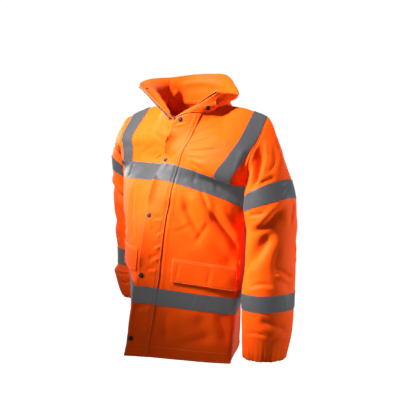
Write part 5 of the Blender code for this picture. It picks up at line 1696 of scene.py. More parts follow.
@dataclass
class Grains:
    """Many small like shapes, such as stitches or teeth, joined into one mesh."""

    points: list = field(default_factory=list)
    quads: list = field(default_factory=list)
    count: int = 0

    def add(self, shape: np.ndarray, faces: np.ndarray, at: np.ndarray, axes: np.ndarray) -> None:
        """Add copies of a shape.

        Args:
            shape: Its vertices.
            faces: Its faces of four corners.
            at: Place of each copy.
            axes: Each copy's three axes as rows.
        """
        placed = at[:, None] + np.einsum("vk,nkj->nvj", shape, axes)
        size = len(shape)
        shift = (self.count + np.arange(len(at)) * size)[:, None, None]
        self.points.append(placed.reshape(-1, 3))
        self.quads.append((faces[None] + shift).reshape(-1, 4))
        self.count += size * len(at)

    def mesh(self, name: str) -> bpy.types.Mesh:
        """Return all copies as one mesh."""
        return Bench.mesh(name, np.concatenate(self.points), np.concatenate(self.quads))


# ---------------------------------------------------------------- sub-assemblies


def report_area(name: str, face: Cloth) -> None:
    """Report a sheet's outer-face area in the log."""
    LOG.info("%s: outer face %.4f m2", name, face.area())


@dataclass(frozen=True)
class Cut:
    """A panel's cut before it was sewn and worn."""

    width: float      # metres
    length: float
    area: float | None = None


@dataclass
class Shell:
    """The panels that a tailor cuts: fronts, back and sleeves."""

    thick: float = 3.0 * MM
    cuts: dict = field(default_factory=lambda: {
        Panel.LEFT: Cut(0.34, 0.78, 0.210),
        Panel.RIGHT: Cut(0.34, 0.78, 0.210),
        Panel.BACK: Cut(0.66, 0.78, 0.455),
        Panel.SLEEVE_LEFT: Cut(0.54, 0.72, 0.270),
        Panel.SLEEVE_RIGHT: Cut(0.54, 0.66, 0.242),
    })
    nodes: dict = field(default_factory=lambda: {
        Panel.LEFT: "front_left", Panel.RIGHT: "front_right", Panel.BACK: "back",
        Panel.SLEEVE_LEFT: "sleeve_left", Panel.SLEEVE_RIGHT: "sleeve_right"})

    def build(self, bench: Bench, form: Form, finish: bpy.types.Material) -> dict[Panel, bpy.types.Object]:
        """Make the panels' walls.

        Args:
            bench: Where pieces are made.
            form: The jacket's form.
            finish: The cloth.

        Returns:
            The object of each panel.
        """
        made = {}
        for panel, node in self.nodes.items():
            mesh = bench.wall(node + "_cloth", form.cloths[panel], -self.thick, self.thick)
            made[panel] = bench.add(node + "_cloth", mesh, finish, "orange_cloth", [node])
        return made

    def declare(self, form: Form, made: dict[Panel, bpy.types.Object],
                on: dict[Panel, list[bpy.types.Object]]) -> None:
        """Args:
            form: The jacket's form.
            made: Each panel's object.
            on: Not used.
        """
        for panel, obj in made.items():
            report_area(obj.name, form.cloths[panel])


@dataclass
class StandCollar:
    """The tall collar, thick at the back of the neck, where a hood is rolled inside."""

    base: float = 3.0 * MM
    front: float = 4.5 * MM
    roll: float = 4.5 * MM
    cut: Cut = Cut(0.58, 0.13, 0.048)

    def thickness(self, cloth: Cloth) -> np.ndarray:
        """Return the collar's thickness at each point.

        It grows from base to front over the lowest third, and the roll adds
        exp(-((s - 0.5) / 0.2)^2) * sin(0.8 pi t), with s round the neck and t up the collar.
        """
        share = np.linspace(0, 1, cloth.points.shape[1])
        rise = np.linspace(0, 1, cloth.points.shape[0])[:, None]
        roll = np.exp(-(((share - 0.5) / 0.2) ** 2)) * np.sin(math.pi * rise * 0.8)
        return self.base + (self.front - self.base) * np.clip(rise * 3, 0, 1) + self.roll * roll

    def build(self, bench: Bench, form: Form, finish: bpy.types.Material) -> bpy.types.Object:
        """Make the collar."""
        cloth = form.cloths[Panel.COLLAR]
        thick = self.thickness(cloth)
        mesh = bench.wall("collar_cloth", cloth, -thick, thick)
        return bench.add("collar_cloth", mesh, finish, "orange_cloth", ["collar"])


@dataclass
class StormFlap:
    """The flap over the zip, and its top end, turned back over the left of the collar."""

    thick: float = 2.4 * MM
    lift: float = 1.7 * MM
    edge_lift: float = 3.0 * MM
    bow: float = 0.45                # share of the edge's lift that comes and goes between studs
    studs: tuple = ((0.0035, 2.15), (-0.115, 4.9), (-0.277, 4.9), (-0.452, 4.9), (-0.637, 4.9))
    turn_low: float = 4.7            # collar columns that the turned end covers at the neckline
    turn_high: float = 0.35
    turn_from: float = 0.22          # its lower edge above the neckline, in rows of the collar
    turn_lift: float = 1.9 * MM
    turn_bulge: float = 2.0 * MM
    turn_steps: int = 6
    sewn: float = 14.0 * MM          # its seam to where it stands clear
    sewn_lift: float = 0.3 * MM
    held_reach: float = 70 * MM      # from a stud to where the edge bows up in full
    bow_most: float = 1.4
    pressed: float = 0.4             # share of its thickness that is left where it is sewn down
    crease_least: float = 0.1        # share of its creases that is left there
    ridge: tuple = (1.1 * MM, 3.2 * MM, 1.8 * MM)    # rise, place and width of its topstitched edge
    cut: Cut = Cut(0.075, 0.74)
    turned_cut: Cut = Cut(0.075, 0.080, 0.0038)

    def cloth(self, form: Form) -> Cloth:
        """Return the fronts' points under the flap, from its seam to its free edge."""
        left = form.cloths[Panel.LEFT].part((0, form.last), (0, form.COL_SEAM)).turned(1)
        right = form.cloths[Panel.RIGHT].part((0, form.last), (0, form.COL_SEAM))
        return left.joined(right.at_heights(left.points[:, -1, 2]), 1)

    def lifted(self, cloth: Cloth) -> np.ndarray:
        """Return the lift of the flap's underside at each point.

        It rises with the square of the way to the free edge, and there it bows up
        between studs and is held down at them.

        Args:
            cloth: The points under the flap.

        Returns:
            Metres along the normals.
        """
        t = np.linspace(0, 1, cloth.points.shape[1])[None, :]
        z = cloth.points[:, -1, 2]
        held = np.array([s[0] for s in self.studs])
        gap = np.min(np.abs(z[:, None] - held[None]), axis=1)
        bow = np.clip(gap / self.held_reach, 0, 1)[:, None]
        free = self.lift + self.edge_lift * t**2 * (1 - self.bow + self.bow_most * self.bow * bow)
        return self.sewn_lift + (free - self.sewn_lift) * np.clip(cloth.across() / self.sewn, 0, 1)

    def wall(self, cloth: Cloth) -> np.ndarray:
        """Return the flap's thickness at each point, pressed thin where it is sewn down."""
        clear = np.clip(cloth.across() / self.sewn, 0, 1)
        return self.thick * (self.pressed + (1 - self.pressed) * clear)

    def outer(self, form: Form) -> Cloth:
        """Return the flap's outer face, with its own creases.

        Args:
            form: The jacket's form.

        Returns:
            The face, seam to free edge.
        """
        cloth = self.cloth(form)
        face = cloth.moved(self.lifted(cloth) + self.wall(cloth))
        push = np.zeros(face.points.shape[:2])
        for crease in CREASES[Panel.FLAP]:
            push += crease.push(face, *crease.line(face))
        push *= np.clip(face.across() / self.sewn, self.crease_least, 1)
        push = np.maximum(push, -self.lift)
        rise, place, width = self.ridge
        push += rise * np.exp(-(((face.across() - place) / width) ** 2))
        return face.moved(push).refreshed()

    def turned(self, form: Form) -> Cloth:
        """Return the turned end's outer face.

        Args:
            form: The jacket's form.

        Returns:
            The face, neckline to top edge.
        """
        collar = form.cloths[Panel.COLLAR]
        high = form.COLLAR_ROWS
        rows = np.linspace(self.turn_from, high, self.turn_steps * FINE + 1)[:, None]
        v = np.linspace(0, 1, self.turn_steps * FINE + 1)[None, :]
        cols = v * (self.turn_low + (self.turn_high - self.turn_low) * rows / high)
        cloth = Cloth(*collar.read(np.broadcast_to(rows, cols.shape), cols))
        lift = self.turn_lift + self.turn_bulge * np.sin(math.pi * v) * np.sin(math.pi * rows / high)
        return cloth.moved(lift + self.thick)

    def build(self, bench: Bench, form: Form, finish: bpy.types.Material) -> list[bpy.types.Object]:
        """Make the flap and its turned end.

        Args:
            bench: Where pieces are made.
            form: The jacket's form.
            finish: The cloth.

        Returns:
            Both objects.
        """
        made = []
        for name, face, node in (("storm_flap_cloth", self.outer(form), "storm_flap"),
                                 ("collar_flap_cloth", self.turned(form), "collar_flap")):
            thick = self.wall(face) if node == "storm_flap" else self.thick
            mesh = bench.wall(name, face, -thick, thick, gap=LAID_GAP, roll=FLAP_ROLL)
            obj = bench.add(name, mesh, finish, "orange_cloth", [node])
            report_area(name, face)
            made.append(obj)
        return made

    def declare(self, made: list[bpy.types.Object], bands: list[bpy.types.Object],
                caps: list[bpy.types.Object]) -> None:
        """Do nothing with both, the bands or the studs on them."""


@dataclass
class PocketFlaps:
    """A flap over each front's pocket."""

    thick: float = 2.4 * MM
    lift: float = 0.4 * MM
    edge_lift: dict = field(default_factory=lambda: {Panel.LEFT: 3.4 * MM, Panel.RIGHT: 1.0 * MM})
    cut: Cut = Cut(0.205, 0.070)

    def outer(self, form: Form, panel: Panel) -> Cloth:
        """Return a pocket flap's outer face."""
        cols = (form.COL_POCKET, form.COL_BRACE_EDGE)
        under = form.cloths[panel].part(form.between(form.POCKET_FLAP), cols)
        fall = np.linspace(0, 1, under.points.shape[0])[:, None]
        return under.moved(self.lift + self.edge_lift[panel] * fall + self.thick)

    def build(self, bench: Bench, form: Form, finish: bpy.types.Material) -> None:
        """Args:
            bench: Where pieces are made.
            form: The jacket's form.
            finish: The cloth.
        """
        for panel in FRONTS:
            name = f"pocket_flap_{panel.value}"
            face = self.outer(form, panel)
            mesh = bench.wall(name + "_cloth", face, -self.thick, self.thick, gap=LAID_GAP, roll=FLAP_ROLL)
            obj = bench.add(name + "_cloth", mesh, finish, "orange_cloth", [name])
            report_area(name, face)


@dataclass
class TapeBands:
    """Reflective tape round the chest, waist and sleeves, and over the shoulders."""

    thick: float = 0.9 * MM
    lift: float = 0.3 * MM
    roll: float = 0.2
    crumple: float = 0.35 * MM
    crumple_wave: float = 9.0 * MM
    faces: dict = field(default_factory=dict)

    def crumpled(self, cloth: Cloth) -> Cloth:
        """Return a band's outer face, stiffly dented: folded noise, |n| * crumple."""
        noise = np.abs(SoftNoise(53).at(cloth.points, self.crumple_wave))
        return cloth.moved(self.thick + self.crumple * noise)

    def build(self, bench: Bench, form: Form, flap: StormFlap,
              finish: bpy.types.Material) -> dict[Panel, list[bpy.types.Object]]:
        """Make every band.

        Args:
            bench: Where pieces are made.
            form: The jacket's form.
            flap: The storm flap, over which two bands run.
            finish: The tape.

        Returns:
            The bands sewn on each panel.
        """
        on: dict[Panel, list[bpy.types.Object]] = {p: [] for p in Panel}
        over = flap.outer(form)
        for name, keys in (("chest_band", form.CHEST_BAND), ("waist_band", form.WAIST_BAND)):
            rows = form.between(keys)
            for panel in FRONTS:
                cloth = form.cloths[panel].part(rows, (0, form.COL_SIDE))
                on[panel].append(self.strip(bench, f"{name}_front_{panel.value}", cloth, finish))
            cloth = form.cloths[Panel.BACK].part(rows, (0, form.BACK_COLS))
            on[Panel.BACK].append(self.strip(bench, f"{name}_back", cloth, finish))
            cloth = over.part(rows, (0, 2 * form.COL_SEAM))
            on[Panel.FLAP].append(self.strip(bench, f"{name}_flap", cloth, finish))
        near, far = form.COL_SIDE - form.COL_BRACE_EDGE, form.BACK_COLS - form.COL_SIDE + form.COL_BRACE
        wide = form.COL_BRACE_EDGE - form.COL_BRACE
        back_cols = {Panel.LEFT: (near, near + wide), Panel.RIGHT: (far, far + wide)}
        rows = (0, form.between(form.CHEST_BAND)[0])
        for panel in FRONTS:
            front = form.cloths[panel].part(rows, (form.COL_BRACE, form.COL_BRACE_EDGE)).turned(0)
            back = form.cloths[Panel.BACK].part(rows, back_cols[panel])
            back = back.turned(1) if panel is Panel.LEFT else back
            on[panel].append(self.strip(bench, f"brace_{panel.value}", front.joined(back, 0), finish))
        sleeves = {Panel.SLEEVE_LEFT: SLEEVE_LEFT_RINGS, Panel.SLEEVE_RIGHT: SLEEVE_RIGHT_RINGS}
        for panel, rings in sleeves.items():
            at = form.CAP_STEPS + ring_rows(rings)
            for level, start in (("upper", 0), ("lower", 4)):
                cloth = form.cloths[panel].rows(at[start], at[start + 1])
                name = panel.value.replace("sleeve", "sleeve_band") + "_" + level
                on[panel].append(self.strip(bench, name, cloth, finish))
        return on

    def strip(self, bench: Bench, node: str, cloth: Cloth, finish: bpy.types.Material) -> bpy.types.Object:
        """Make one band on a stretch of cloth, and keep its outer face for the sewing."""
        face = self.crumpled(cloth.moved(self.lift))
        self.faces[node] = face
        mesh = bench.wall(node + "_tape", face, -self.thick, self.thick, gap=LAID_GAP, roll=self.roll)
        return bench.add(node + "_tape", mesh, finish, "reflective_tape", [node])


@dataclass
class Zip:
    """The zip: closed under the storm flap, open along the collar's front edges."""

    tape: float = 1.2 * MM
    wide: float = 6.5 * MM
    clear: float = 0.6 * MM          # collar's edge to the tape
    roll: float = 0.2
    inward: tuple = (1.0, 3.0)       # columns in from each front edge that the tape points away from
    columns: int = 5
    starts: tuple = (0.22, 0.10)     # start on each side, in shares of the collar's front edge
    tooth: tuple = (2.6 * MM, 1.3 * MM, 1.9 * MM)
    pitch: float = 2.6 * MM
    slider: tuple = (7.2 * MM, 3.2 * MM, 8.0 * MM)
    slider_at: tuple = (0.0010, -0.0758, 0.0078)
    # its parts in shares of its size: width, depth, height, place back and up, taper
    slider_parts: tuple = (
        (1.0, 0.28, 1.0, -0.36, 0.0, 0.6),      # front plate
        (1.0, 0.28, 1.0, 0.36, 0.0, 0.6),       # back plate
        (0.3, 0.5, 0.5, 0.0, 0.0, 1.0),         # bridge
        (0.5, 0.22, 0.7, -0.62, -0.12, 1.0),    # pull tab
    )

    def strip(self, form: Form, right: bool) -> Cloth:
        """Return the zip tape, which runs on beyond the collar's front edge.

        A point is edge - back * reach: back is the way in along the collar, and reach falls
        from the tape's far edge to its near one.

        Args:
            form: The jacket's form.
            right: Whether it is the right half.

        Returns:
            The tape, free edge first.
        """
        collar = form.cloths[Panel.COLLAR]
        last = (collar.points.shape[1] - 1) / FINE
        edge, inner = (last, last - self.inward[1]) if right else (0.0, self.inward[0])
        start, end = self.starts[int(right)] * form.COLLAR_ROWS, form.COLLAR_ROWS
        rows = np.linspace(start, end, form.COLLAR_ROWS * FINE + 1)
        line, normal = collar.read(rows, np.full_like(rows, edge))
        inside, _ = collar.read(rows, np.full_like(rows, inner))
        back = unit(inside - line)
        reach = np.linspace(self.wide, self.clear, self.columns)[None, :, None]
        points = line[:, None] - back[:, None] * reach
        return Cloth(points, np.broadcast_to(normal[:, None], points.shape).copy())

    def build(self, bench: Bench, form: Form, finishes: Finishes) -> None:
        """Make the open halves with their teeth, the closed stretch's finish and the slider.

        Args:
            bench: Where pieces are made.
            form: The jacket's form.
            finishes: The jacket's materials.
        """
        shape, faces = block(*self.tooth)
        for side in ("left", "right"):
            cloth = self.strip(form, side == "right")
            tape = bench.wall(f"zip_tape_{side}", cloth, -self.tape, self.tape, gap=0.0, roll=self.roll)
            name = f"zip_collar_{side}"
            bench.add(name + "_tape", tape, finishes.zip_cloth, "zip_tape", [name])
            edge = cloth.points[:, 0]
            run = run_of(edge)
            at = np.arange(self.pitch, run[-1], self.pitch)
            normal = cloth.normals[:, 0]
            points = along(edge, at)
            ahead = unit(np.gradient(points, axis=0))
            out = unit(along(normal, np.interp(at, run, run_of(normal))))
            across = unit(np.cross(ahead, out))
            teeth = Grains()
            teeth.add(shape, faces, points - out * self.tape / 2, np.stack([across, ahead, out], axis=1))
            name += "_teeth"
            bench.add(name, teeth.mesh(name), finishes.zip_teeth, "zip_tape")
        self.build_slider(bench, finishes)
        bpy.data.objects["zip_closed"].material_slots[0].material = finishes.zip_cloth

    def build_slider(self, bench: Bench, finishes: Finishes) -> None:
        """Make the slider: two plates, narrower below, a bridge between them and a pull tab.

        Args:
            bench: Where pieces are made.
            finishes: The jacket's materials.
        """
        wide, deep, tall = self.slider
        parts = Grains()
        at = np.array(self.slider_at)
        axes = np.eye(3)[None]
        for w, d, t, back, up, taper in self.slider_parts:
            shape, faces = block(wide * w, deep * d, tall * t, taper)
            parts.add(shape, faces, (at + (0, back * deep, up * tall))[None], axes)
        bench.add("zip_slider_body", parts.mesh("zip_slider_body"), finishes.zip_teeth,
                  "zip_slider", ["zip_slider"])


def block(wide: float, deep: float, tall: float, taper: float = 1.0) -> tuple[np.ndarray, np.ndarray]:
    """Return a block with eased corners, its lower end narrowed by the taper.

    Args:
        wide: Size along its first axis.
        deep: Size along its second.
        tall: Size along its third.
        taper: Width of the lower end as a share of the upper.

    Returns:
        Vertices and faces of four corners.
    """
    level = np.array([-0.5, -0.38, 0.38, 0.5])
    inset = np.array([0.8, 1.0, 1.0, 0.8])
    ring = np.array([(-0.5, -0.5), (0.5, -0.5), (0.5, 0.5), (-0.5, 0.5)])
    narrow = np.where(level < 0, taper, 1.0)
    return lofted([np.column_stack([ring[:, 0] * wide * s * k, ring[:, 1] * deep * s, np.full(4, z * tall)])
                   for z, s, k in zip(level, inset, narrow)])


class Snap(Enum):
    """The profiles of a press stud's parts, in shares of its radius and its height."""

    # a low dome with a rolled rim and a ring pressed into its top
    CAP = ((1.0, 0.0), (1.03, 0.18), (1.0, 0.36), (0.94, 0.46), (0.88, 0.50), (0.80, 0.66), (0.66, 0.80),
           (0.52, 0.86), (0.47, 0.80), (0.42, 0.86), (0.28, 0.94), (0.12, 0.99), (0.0, 1.0))
    # a flat ring round a well
    SOCKET = ((1.0, 0.0), (1.0, 0.55), (0.93, 0.85), (0.80, 1.0), (0.62, 0.95), (0.50, 0.75),
              (0.44, 0.35), (0.30, 0.25), (0.12, 0.25), (0.0, 0.25))


@dataclass
class PressStuds:
    """Press studs down the storm flap, on its turned end, and two mates at the neck."""

    radius: float = 7.2 * MM
    height: float = 2.8 * MM
    socket_radius: float = 4.5 * MM
    socket_height: float = 1.8 * MM
    clear: float = 0.3 * MM
    on_turned: tuple = (1.65, 4.4)       # row and column of the turned end
    on_collar: tuple = (4.8, 1.3)        # row, and columns in from the collar's right edge
    on_neck: tuple = (0.3, 3.5)          # row and column of the right front
    sides: int = 32
    flat: float = 0.4                    # steps round its place that a stud is levelled by

    def cap(self, name: str, at: np.ndarray, normal: np.ndarray, kind: Snap) -> bpy.types.Mesh:
        """Make a stud: its kind's profile turned about its normal.

        A point is at + height * z * axis + radius * r * (cos a * side + sin a * other), with
        r and z from the profile.

        Args:
            name: The mesh's name.
            at: Middle of its foot.
            normal: The way that it faces.
            kind: Cap or socket.

        Returns:
            The closed mesh.
        """
        radius, height = self.sizes(kind)
        outline = np.array([(0.0, 0.0), (0.5, 0.0), *kind.value])
        turn = np.arange(self.sides) / self.sides * 2 * math.pi
        axis = unit(normal)
        side = unit(np.cross(axis, (0.0, 0.3, 1.0)))
        other = np.cross(axis, side)
        ring = np.cos(turn)[:, None] * side + np.sin(turn)[:, None] * other
        points = (at + outline[:, None, 1:] * height * axis + outline[:, None, :1] * radius * ring[None])
        inner = points[1:-1].reshape(-1, 3)
        points = np.concatenate([inner, points[:1, 0], points[-1:, 0]])
        rows = len(outline) - 2
        quads = grid_faces(rows, self.sides, True)[:, [0, 3, 2, 1]]
        foot, top = len(inner), len(inner) + 1
        even = np.arange(0, self.sides, 2)
        low = np.stack([np.full_like(even, foot), (even + 2) % self.sides, even + 1, even], -1)
        base = (rows - 1) * self.sides
        high = np.stack([np.full_like(even, top), base + even, base + even + 1,
                         base + (even + 2) % self.sides], -1)
        return Bench.mesh(name, points, np.concatenate([quads, low, high]), sharp=40)

    def sizes(self, kind: Snap) -> tuple[float, float]:
        """Return the radius and height of a kind of stud."""
        caps = kind is Snap.CAP
        return (self.radius, self.height) if caps else (self.socket_radius, self.socket_height)

    def place(self, bench: Bench, finish: bpy.types.Material, name: str, kind: Snap, face: Cloth,
              at: tuple[float, float], outside: float = 1.0) -> bpy.types.Object:
        """Seat a stud on a face.

        Args:
            bench: Where pieces are made.
            finish: The plastic.
            name: The stud's node.
            kind: Cap or socket.
            face: The cloth that it sits on.
            at: Row and column of the cloth's own grid.
            outside: 1 for the cloth's outer side, -1 for its inner one.

        Returns:
            The stud.
        """
        row, col = at
        rows = np.array([row, max(row - self.flat, 0), row + self.flat, row, row])
        cols = np.array([col, col, col, max(col - self.flat, 0), col + self.flat])
        points, normals = face.read(rows, cols)
        normal = unit(np.cross(points[2] - points[1], points[4] - points[3]))
        normal = normal * np.sign(np.dot(normal, normals[0] * outside))
        mesh = self.cap(name, points[0] + normal * self.clear, normal, kind)
        return bench.add(name + "_cap", mesh, finish, "press_stud", [name])

    def build(self, bench: Bench, form: Form, flap: StormFlap, collar: StandCollar,
              finish: bpy.types.Material) -> list[bpy.types.Object]:
        """Make every stud and socket.

        Args:
            bench: Where pieces are made.
            form: The jacket's form.
            flap: The storm flap, whose edge the row of caps is on.
            collar: The collar, whose thickness the inner socket is seated by.
            finish: The plastic.

        Returns:
            The caps, from the neck down, then the turned end's cap and the two sockets.
        """
        over = flap.outer(form)
        seats = []
        for number, (z, col) in enumerate(flap.studs, 1):
            heights = over.points[:, round(col * FINE), 2]
            row = float(np.interp(-z, -heights, np.arange(len(heights)))) / FINE
            seats.append((f"stud_{number}", Snap.CAP, over, (row, col)))
        seats.append(("stud_collar", Snap.CAP, flap.turned(form), self.on_turned))
        cloth = form.cloths[Panel.COLLAR]
        inner = cloth.moved(-collar.thickness(cloth))
        col = (cloth.points.shape[1] - 1) / FINE - self.on_collar[1]
        seats.append(("stud_collar_socket", Snap.SOCKET, inner, (self.on_collar[0], col), -1))
        seats.append(("stud_neck_socket", Snap.SOCKET, form.cloths[Panel.RIGHT], self.on_neck))
        return [self.place(bench, finish, *seat) for seat in seats]


class Thread(Enum):
    """The two threads, and the slot that each belongs to."""

    ORANGE = "orange_cloth"
    GREY = "reflective_tape"


@dataclass
class Sewing:
    """Lockstitched seams: rows of stitches that lie in the cloth."""

    pitch: float = 4.2 * MM
    long: float = 3.1 * MM
    wide: float = 0.9 * MM
    tall: float = 0.5 * MM
    inset: float = 2.6 * MM      # tape's edge to its stitches
    hem: float = 20.0 * MM       # hem's edge to its upper row
    close: float = 3.0 * MM      # edge to stitches on the panels and the storm flap
    collar: float = 4.0 * MM
    pocket: tuple = (2.5 * MM, 7.5 * MM)         # round a pocket flap, and its second row
    flap: tuple = (9.0 * MM, 3.5 * MM)           # second row from the flap's seam, row at its edge
    rows: dict = field(default_factory=lambda: {Thread.ORANGE: [], Thread.GREY: []})

    def line(self, kind: Thread, points: np.ndarray, normals: np.ndarray) -> None:
        """Keep a line to be sewn.

        Args:
            kind: The thread.
            points: Points along the line.
            normals: The cloth's normals there.
        """
        self.rows[kind].append((points, normals))

    def round_edges(self, kind: Thread, face: Cloth, inset: float, top: bool = True,
                    bottom: bool = True, sides: bool = False) -> None:
        """Keep lines beside a face's edges.

        Args:
            kind: The thread.
            face: The face.
            inset: Edge to line, in metres.
            top: Whether the first row's edge is sewn.
            bottom: Whether the last row's is.
            sides: Whether the first and last columns' are.
        """
        rows, cols = face.points.shape[:2]
        tall = face.down()[-1].mean()
        wide = face.across()[:, -1].mean()
        end_r, end_c = (rows - 1) / FINE, (cols - 1) / FINE
        r, c = inset / tall * (rows - 1) / FINE, inset / wide * (cols - 1) / FINE
        start = c if sides else 0.0
        level = np.linspace(start, end_c - start, cols)
        for wanted, at in ((top, r), (bottom, end_r - r)):
            if wanted:
                self.line(kind, *face.read(np.full_like(level, at), level))
        upright = np.linspace(r, end_r - r, rows)
        if sides:
            for at in (c, end_c - c):
                self.line(kind, *face.read(upright, np.full_like(upright, at)))

    def stitch(self) -> tuple[np.ndarray, np.ndarray]:
        """Return one stitch: a thread that rises out of the cloth and dips back in.

        Returns:
            Its vertices and its faces.
        """
        share = np.array([-0.5, -0.25, 0.25, 0.5])
        size = np.array([0.35, 1.0, 1.0, 0.35])
        rise = np.array([-0.3, 0.35, 0.35, -0.3])
        ring = np.array([(-0.5, -0.4), (0.5, -0.4), (0.36, 0.5), (-0.36, 0.5)])
        return lofted([np.column_stack([np.full(4, s * self.long), ring[:, 0] * self.wide * k,
                                        (ring[:, 1] * k + up) * self.tall])
                       for s, k, up in zip(share, size, rise)])

    def build(self, bench: Bench, finishes: dict[Thread, bpy.types.Material]) -> None:
        """Sew every kept line, one piece for each thread.

        Args:
            bench: Where pieces are made.
            finishes: Each thread's material.
        """
        shape, faces = self.stitch()
        for kind, lines in self.rows.items():
            grains = Grains()
            for points, normals in lines:
                run = run_of(points)
                at = np.arange(self.pitch / 2, run[-1], self.pitch)
                if len(at) < 3:
                    continue
                place = along(points, at)
                up = unit(np.stack([np.interp(at, run, normals[:, i]) for i in range(3)], axis=1))
                ahead = unit(np.gradient(place, axis=0))
                across = unit(np.cross(up, ahead))
                up = np.cross(ahead, across)
                grains.add(shape, faces, place, np.stack([ahead, across, up], axis=1))
            name = f"stitches_{kind.name.lower()}"
            bench.add(name, grains.mesh(name), finishes[kind], kind.value)


# ---------------------------------------------------------------- studio


@dataclass(frozen=True)
class Lamp:
    """A lamp that looks at a point of the jacket."""

    name: str
    azimuth: float       # degrees round the jacket, as the camera's
    elevation: float
    distance: float      # metres: a spot's from the point, a disk's from the origin
    size: float          # a spot's radius, a disk's diameter
    power: float
    colour: str
    look: tuple = (0.0, 0.0, -0.25)
    cone: float = 0.0    # degrees of a spot's cone; 0 for a disk
    blend: float = 1.0   # share of the cone over which it fades out


LAMPS = (
    Lamp("key", -33, 38, 1.9, 0.18, 1450, "#FFFAF4", (-0.10, -0.10, 0.03), 23.8, 0.8),
    Lamp("sleeve", -46, 30, 2.2, 0.12, 720, "#FFFAF4", (0.40, -0.02, -0.45), 16, 0.9),
    Lamp("side", -106, 6, 2.2, 0.9, 26, "#FFFAF4"),
    Lamp("rim", 122, 2, 2.0, 0.5, 1100, "#F4F6FF", (0.36, 0.0, -0.22), 19),
)


@dataclass
class Studio:
    """Camera, soft lights, pale floor."""

    azimuth: float = 38.0        # degrees; the camera stands at (sin, -cos) of it
    distance: float = 3.0
    focal: float = 990.0         # pixels of a picture 400 pixels wide
    aim: tuple = (10.0, -80.0)   # pixels right of and above the level axis that the middle looks at
    sensor: float = 36.0
    side: float = 400.0
    floor_z: float = -1.42       # the wearer's floor
    floor_rings: tuple = (0.45, 2.7, 6.3, 9.0)   # metres
    floor_sides: int = 64
    wall_top: tuple = ((0.13, 0.22), 0.12)    # sines of the heights where white ends, and the level there
    wall_foot: tuple = ((-0.18, -0.30), 0.15)
    wall_level: float = 1.02

    def direction(self, azimuth: float, elevation: float) -> Vector:
        """Return the way to a point at angles seen from the origin, measured as the camera's."""
        a, e = math.radians(azimuth), math.radians(elevation)
        return Vector((math.sin(a) * math.cos(e), -math.cos(a) * math.cos(e), math.sin(e)))

    @staticmethod
    def hang(data: bpy.types.Camera | bpy.types.Light, at: Vector, look: Vector) -> bpy.types.Object:
        """Put a camera or a lamp at a point, and turn it to look at another.

        Args:
            data: The camera's or the lamp's own values.
            at: Its place.
            look: What it looks at.

        Returns:
            The object.
        """
        obj = bpy.data.objects.new(data.name, data)
        bpy.context.scene.collection.objects.link(obj)
        obj.location = at
        obj.rotation_mode = "QUATERNION"
        obj.rotation_quaternion = (look - at).to_track_quat("-Z", "Y")
        return obj

    def camera(self) -> None:
        """Make the camera."""
        a = math.radians(self.azimuth)
        data = bpy.data.cameras.new("camera")
        data.sensor_width = self.sensor
        data.lens = self.focal / self.side * self.sensor
        aim = Vector((math.cos(a), math.sin(a), 0.0)) * (self.aim[0] / self.focal * self.distance)
        aim.z = self.aim[1] / self.focal * self.distance
        bpy.context.scene.camera = self.hang(data, self.direction(self.azimuth, 0) * self.distance, aim)

    def light(self, lamp: Lamp) -> None:
        """Hang a soft lamp: a disk that shines round itself, or a spot with its cone.

        Args:
            lamp: The lamp.
        """
        data = bpy.data.lights.new(lamp.name, "SPOT" if lamp.cone else "AREA")
        data.energy = lamp.power
        data.color = linear(lamp.colour)[:3]
        at = self.direction(lamp.azimuth, lamp.elevation) * lamp.distance
        if lamp.cone:
            data.shadow_soft_size = lamp.size
            data.spot_size = math.radians(lamp.cone)
            data.spot_blend = lamp.blend
            at += Vector(lamp.look)
        else:
            data.shape = "DISK"
            data.size = lamp.size
        self.hang(data, at, Vector(lamp.look))

    def world(self) -> None:
        """Set a white band round the horizon, dim above and below it."""
        made = bpy.data.worlds.new("surround")
        made.use_nodes = True
        tree = made.node_tree
        place = add_node(tree, "ShaderNodeTexCoord")
        split = add_node(tree, "ShaderNodeSeparateXYZ", None, {0: place.outputs["Generated"]})
        levels = []
        for (low, high), dim in (self.wall_top, self.wall_foot):
            share = add_node(tree, "ShaderNodeMapRange", {"interpolation_type": "SMOOTHSTEP"},
                             {"Value": split.outputs["Z"], "From Min": low, "From Max": high,
                              "To Min": self.wall_level, "To Max": dim})
            levels.append(share.outputs["Result"])
        least = add_node(tree, "ShaderNodeMath", {"operation": "MINIMUM"}, {0: levels[0], 1: levels[1]})
        back = tree.nodes["Background"]
        back.inputs["Color"].default_value = (1.0, 1.0, 1.0, 1.0)
        tree.links.new(least.outputs[0], back.inputs["Strength"])
        bpy.context.scene.world = made

    def floor(self) -> None:
        """Lay the floor: rings of points round its middle, the innermost filled in."""
        sides = self.floor_sides
        turn = np.arange(sides) / sides * 2 * math.pi
        rings = np.array(self.floor_rings)[:, None]
        points = np.stack([rings * np.cos(turn), rings * np.sin(turn),
                           np.full((len(rings), sides), self.floor_z)], -1).reshape(-1, 3)
        middle = np.array([[i, i + 1, i + 2, 0] for i in range(1, sides - 2, 2)])
        quads = np.concatenate([grid_faces(len(rings), sides, True), middle])
        mesh = Bench.mesh("floor", points, quads)
        obj = bpy.data.objects.new("floor", mesh)
        mesh.materials.append(PaintedFloor("matt_white_paint", "#F4F4F4", 0.9).make())
        bpy.context.scene.collection.objects.link(obj)
        obj.visible_diffuse = obj.visible_glossy = False

    def build(self) -> None:
        """Make the whole studio."""
        self.camera()
        for lamp in LAMPS:
            self.light(lamp)
        self.world()
        self.floor()
        view = bpy.context.scene.view_settings
        view.view_transform = "Standard"
        view.look = "None"


# ---------------------------------------------------------------- the jacket


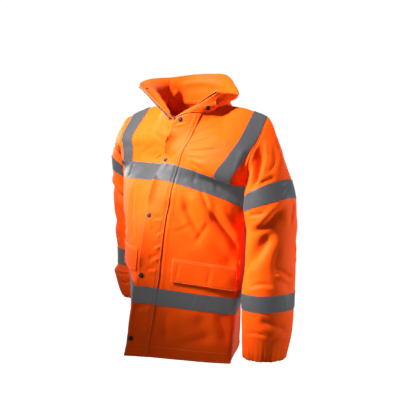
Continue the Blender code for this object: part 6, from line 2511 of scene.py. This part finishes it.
def sew(sewing: Sewing, form: Form, flap: StormFlap, pockets: PocketFlaps, bands: TapeBands) -> None:
    """Keep every seam that shows: tape edges, hem, flaps and collar.

    Args:
        sewing: Where the lines are kept.
        form: The jacket's form.
        flap: The storm flap.
        pockets: The pocket flaps.
        bands: The tape, with its faces.
    """
    for face in bands.faces.values():
        sewing.round_edges(Thread.GREY, face, sewing.inset)
    for panel in BODY_PANELS:
        cloth = form.cloths[panel]
        sewing.round_edges(Thread.ORANGE, cloth, sewing.hem, top=False)
        sewing.round_edges(Thread.ORANGE, cloth, sewing.close, top=False)
    for panel in FRONTS:
        face = pockets.outer(form, panel)
        sewing.round_edges(Thread.ORANGE, face, sewing.pocket[0], sides=True)
        sewing.round_edges(Thread.ORANGE, face, sewing.pocket[1], bottom=False)
    over = flap.outer(form)
    rows = np.linspace(0, form.last, form.last * FINE + 1)
    wide = over.across()[:, -1].mean()
    for inset in (sewing.close, sewing.flap[0], wide - sewing.flap[1]):
        cols = np.full_like(rows, inset / wide * 2 * form.COL_SEAM)
        sewing.line(Thread.ORANGE, *over.read(rows, cols))
    sewing.round_edges(Thread.ORANGE, flap.turned(form), sewing.close, sides=True)
    sewing.round_edges(Thread.ORANGE, form.cloths[Panel.COLLAR], sewing.collar, top=False, sides=True)


def main() -> None:
    """Build the jacket's looks in order, then the studio round it."""
    logging.basicConfig(level=logging.INFO, format="%(name)s: %(message)s")
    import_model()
    form = Form()
    form.build()
    Relief().settle(form)
    finishes = Finishes()
    bench = Bench()
    shell, collar, flap, pockets = Shell(), StandCollar(), StormFlap(), PocketFlaps()
    bands, zip_parts, studs, sewing = TapeBands(), Zip(), PressStuds(), Sewing()
    panels = shell.build(bench, form, finishes.cloth)
    neck = collar.build(bench, form, finishes.cloth)
    laps = flap.build(bench, form, finishes.cloth)
    pockets.build(bench, form, finishes.cloth)
    on = bands.build(bench, form, flap, finishes.tape)
    zip_parts.build(bench, form, finishes)
    caps = studs.build(bench, form, flap, collar, finishes.stud)
    sew(sewing, form, flap, pockets, bands)
    sewing.build(bench, {Thread.ORANGE: finishes.thread, Thread.GREY: finishes.grey_thread})
    shell.declare(form, panels, on)
    flap.declare(laps, on[Panel.FLAP], caps)
    report_area("collar", form.cloths[Panel.COLLAR])
    Studio().build()
    LOG.info("%d pieces", bench.pieces)


if __name__ == "__main__":
    main()
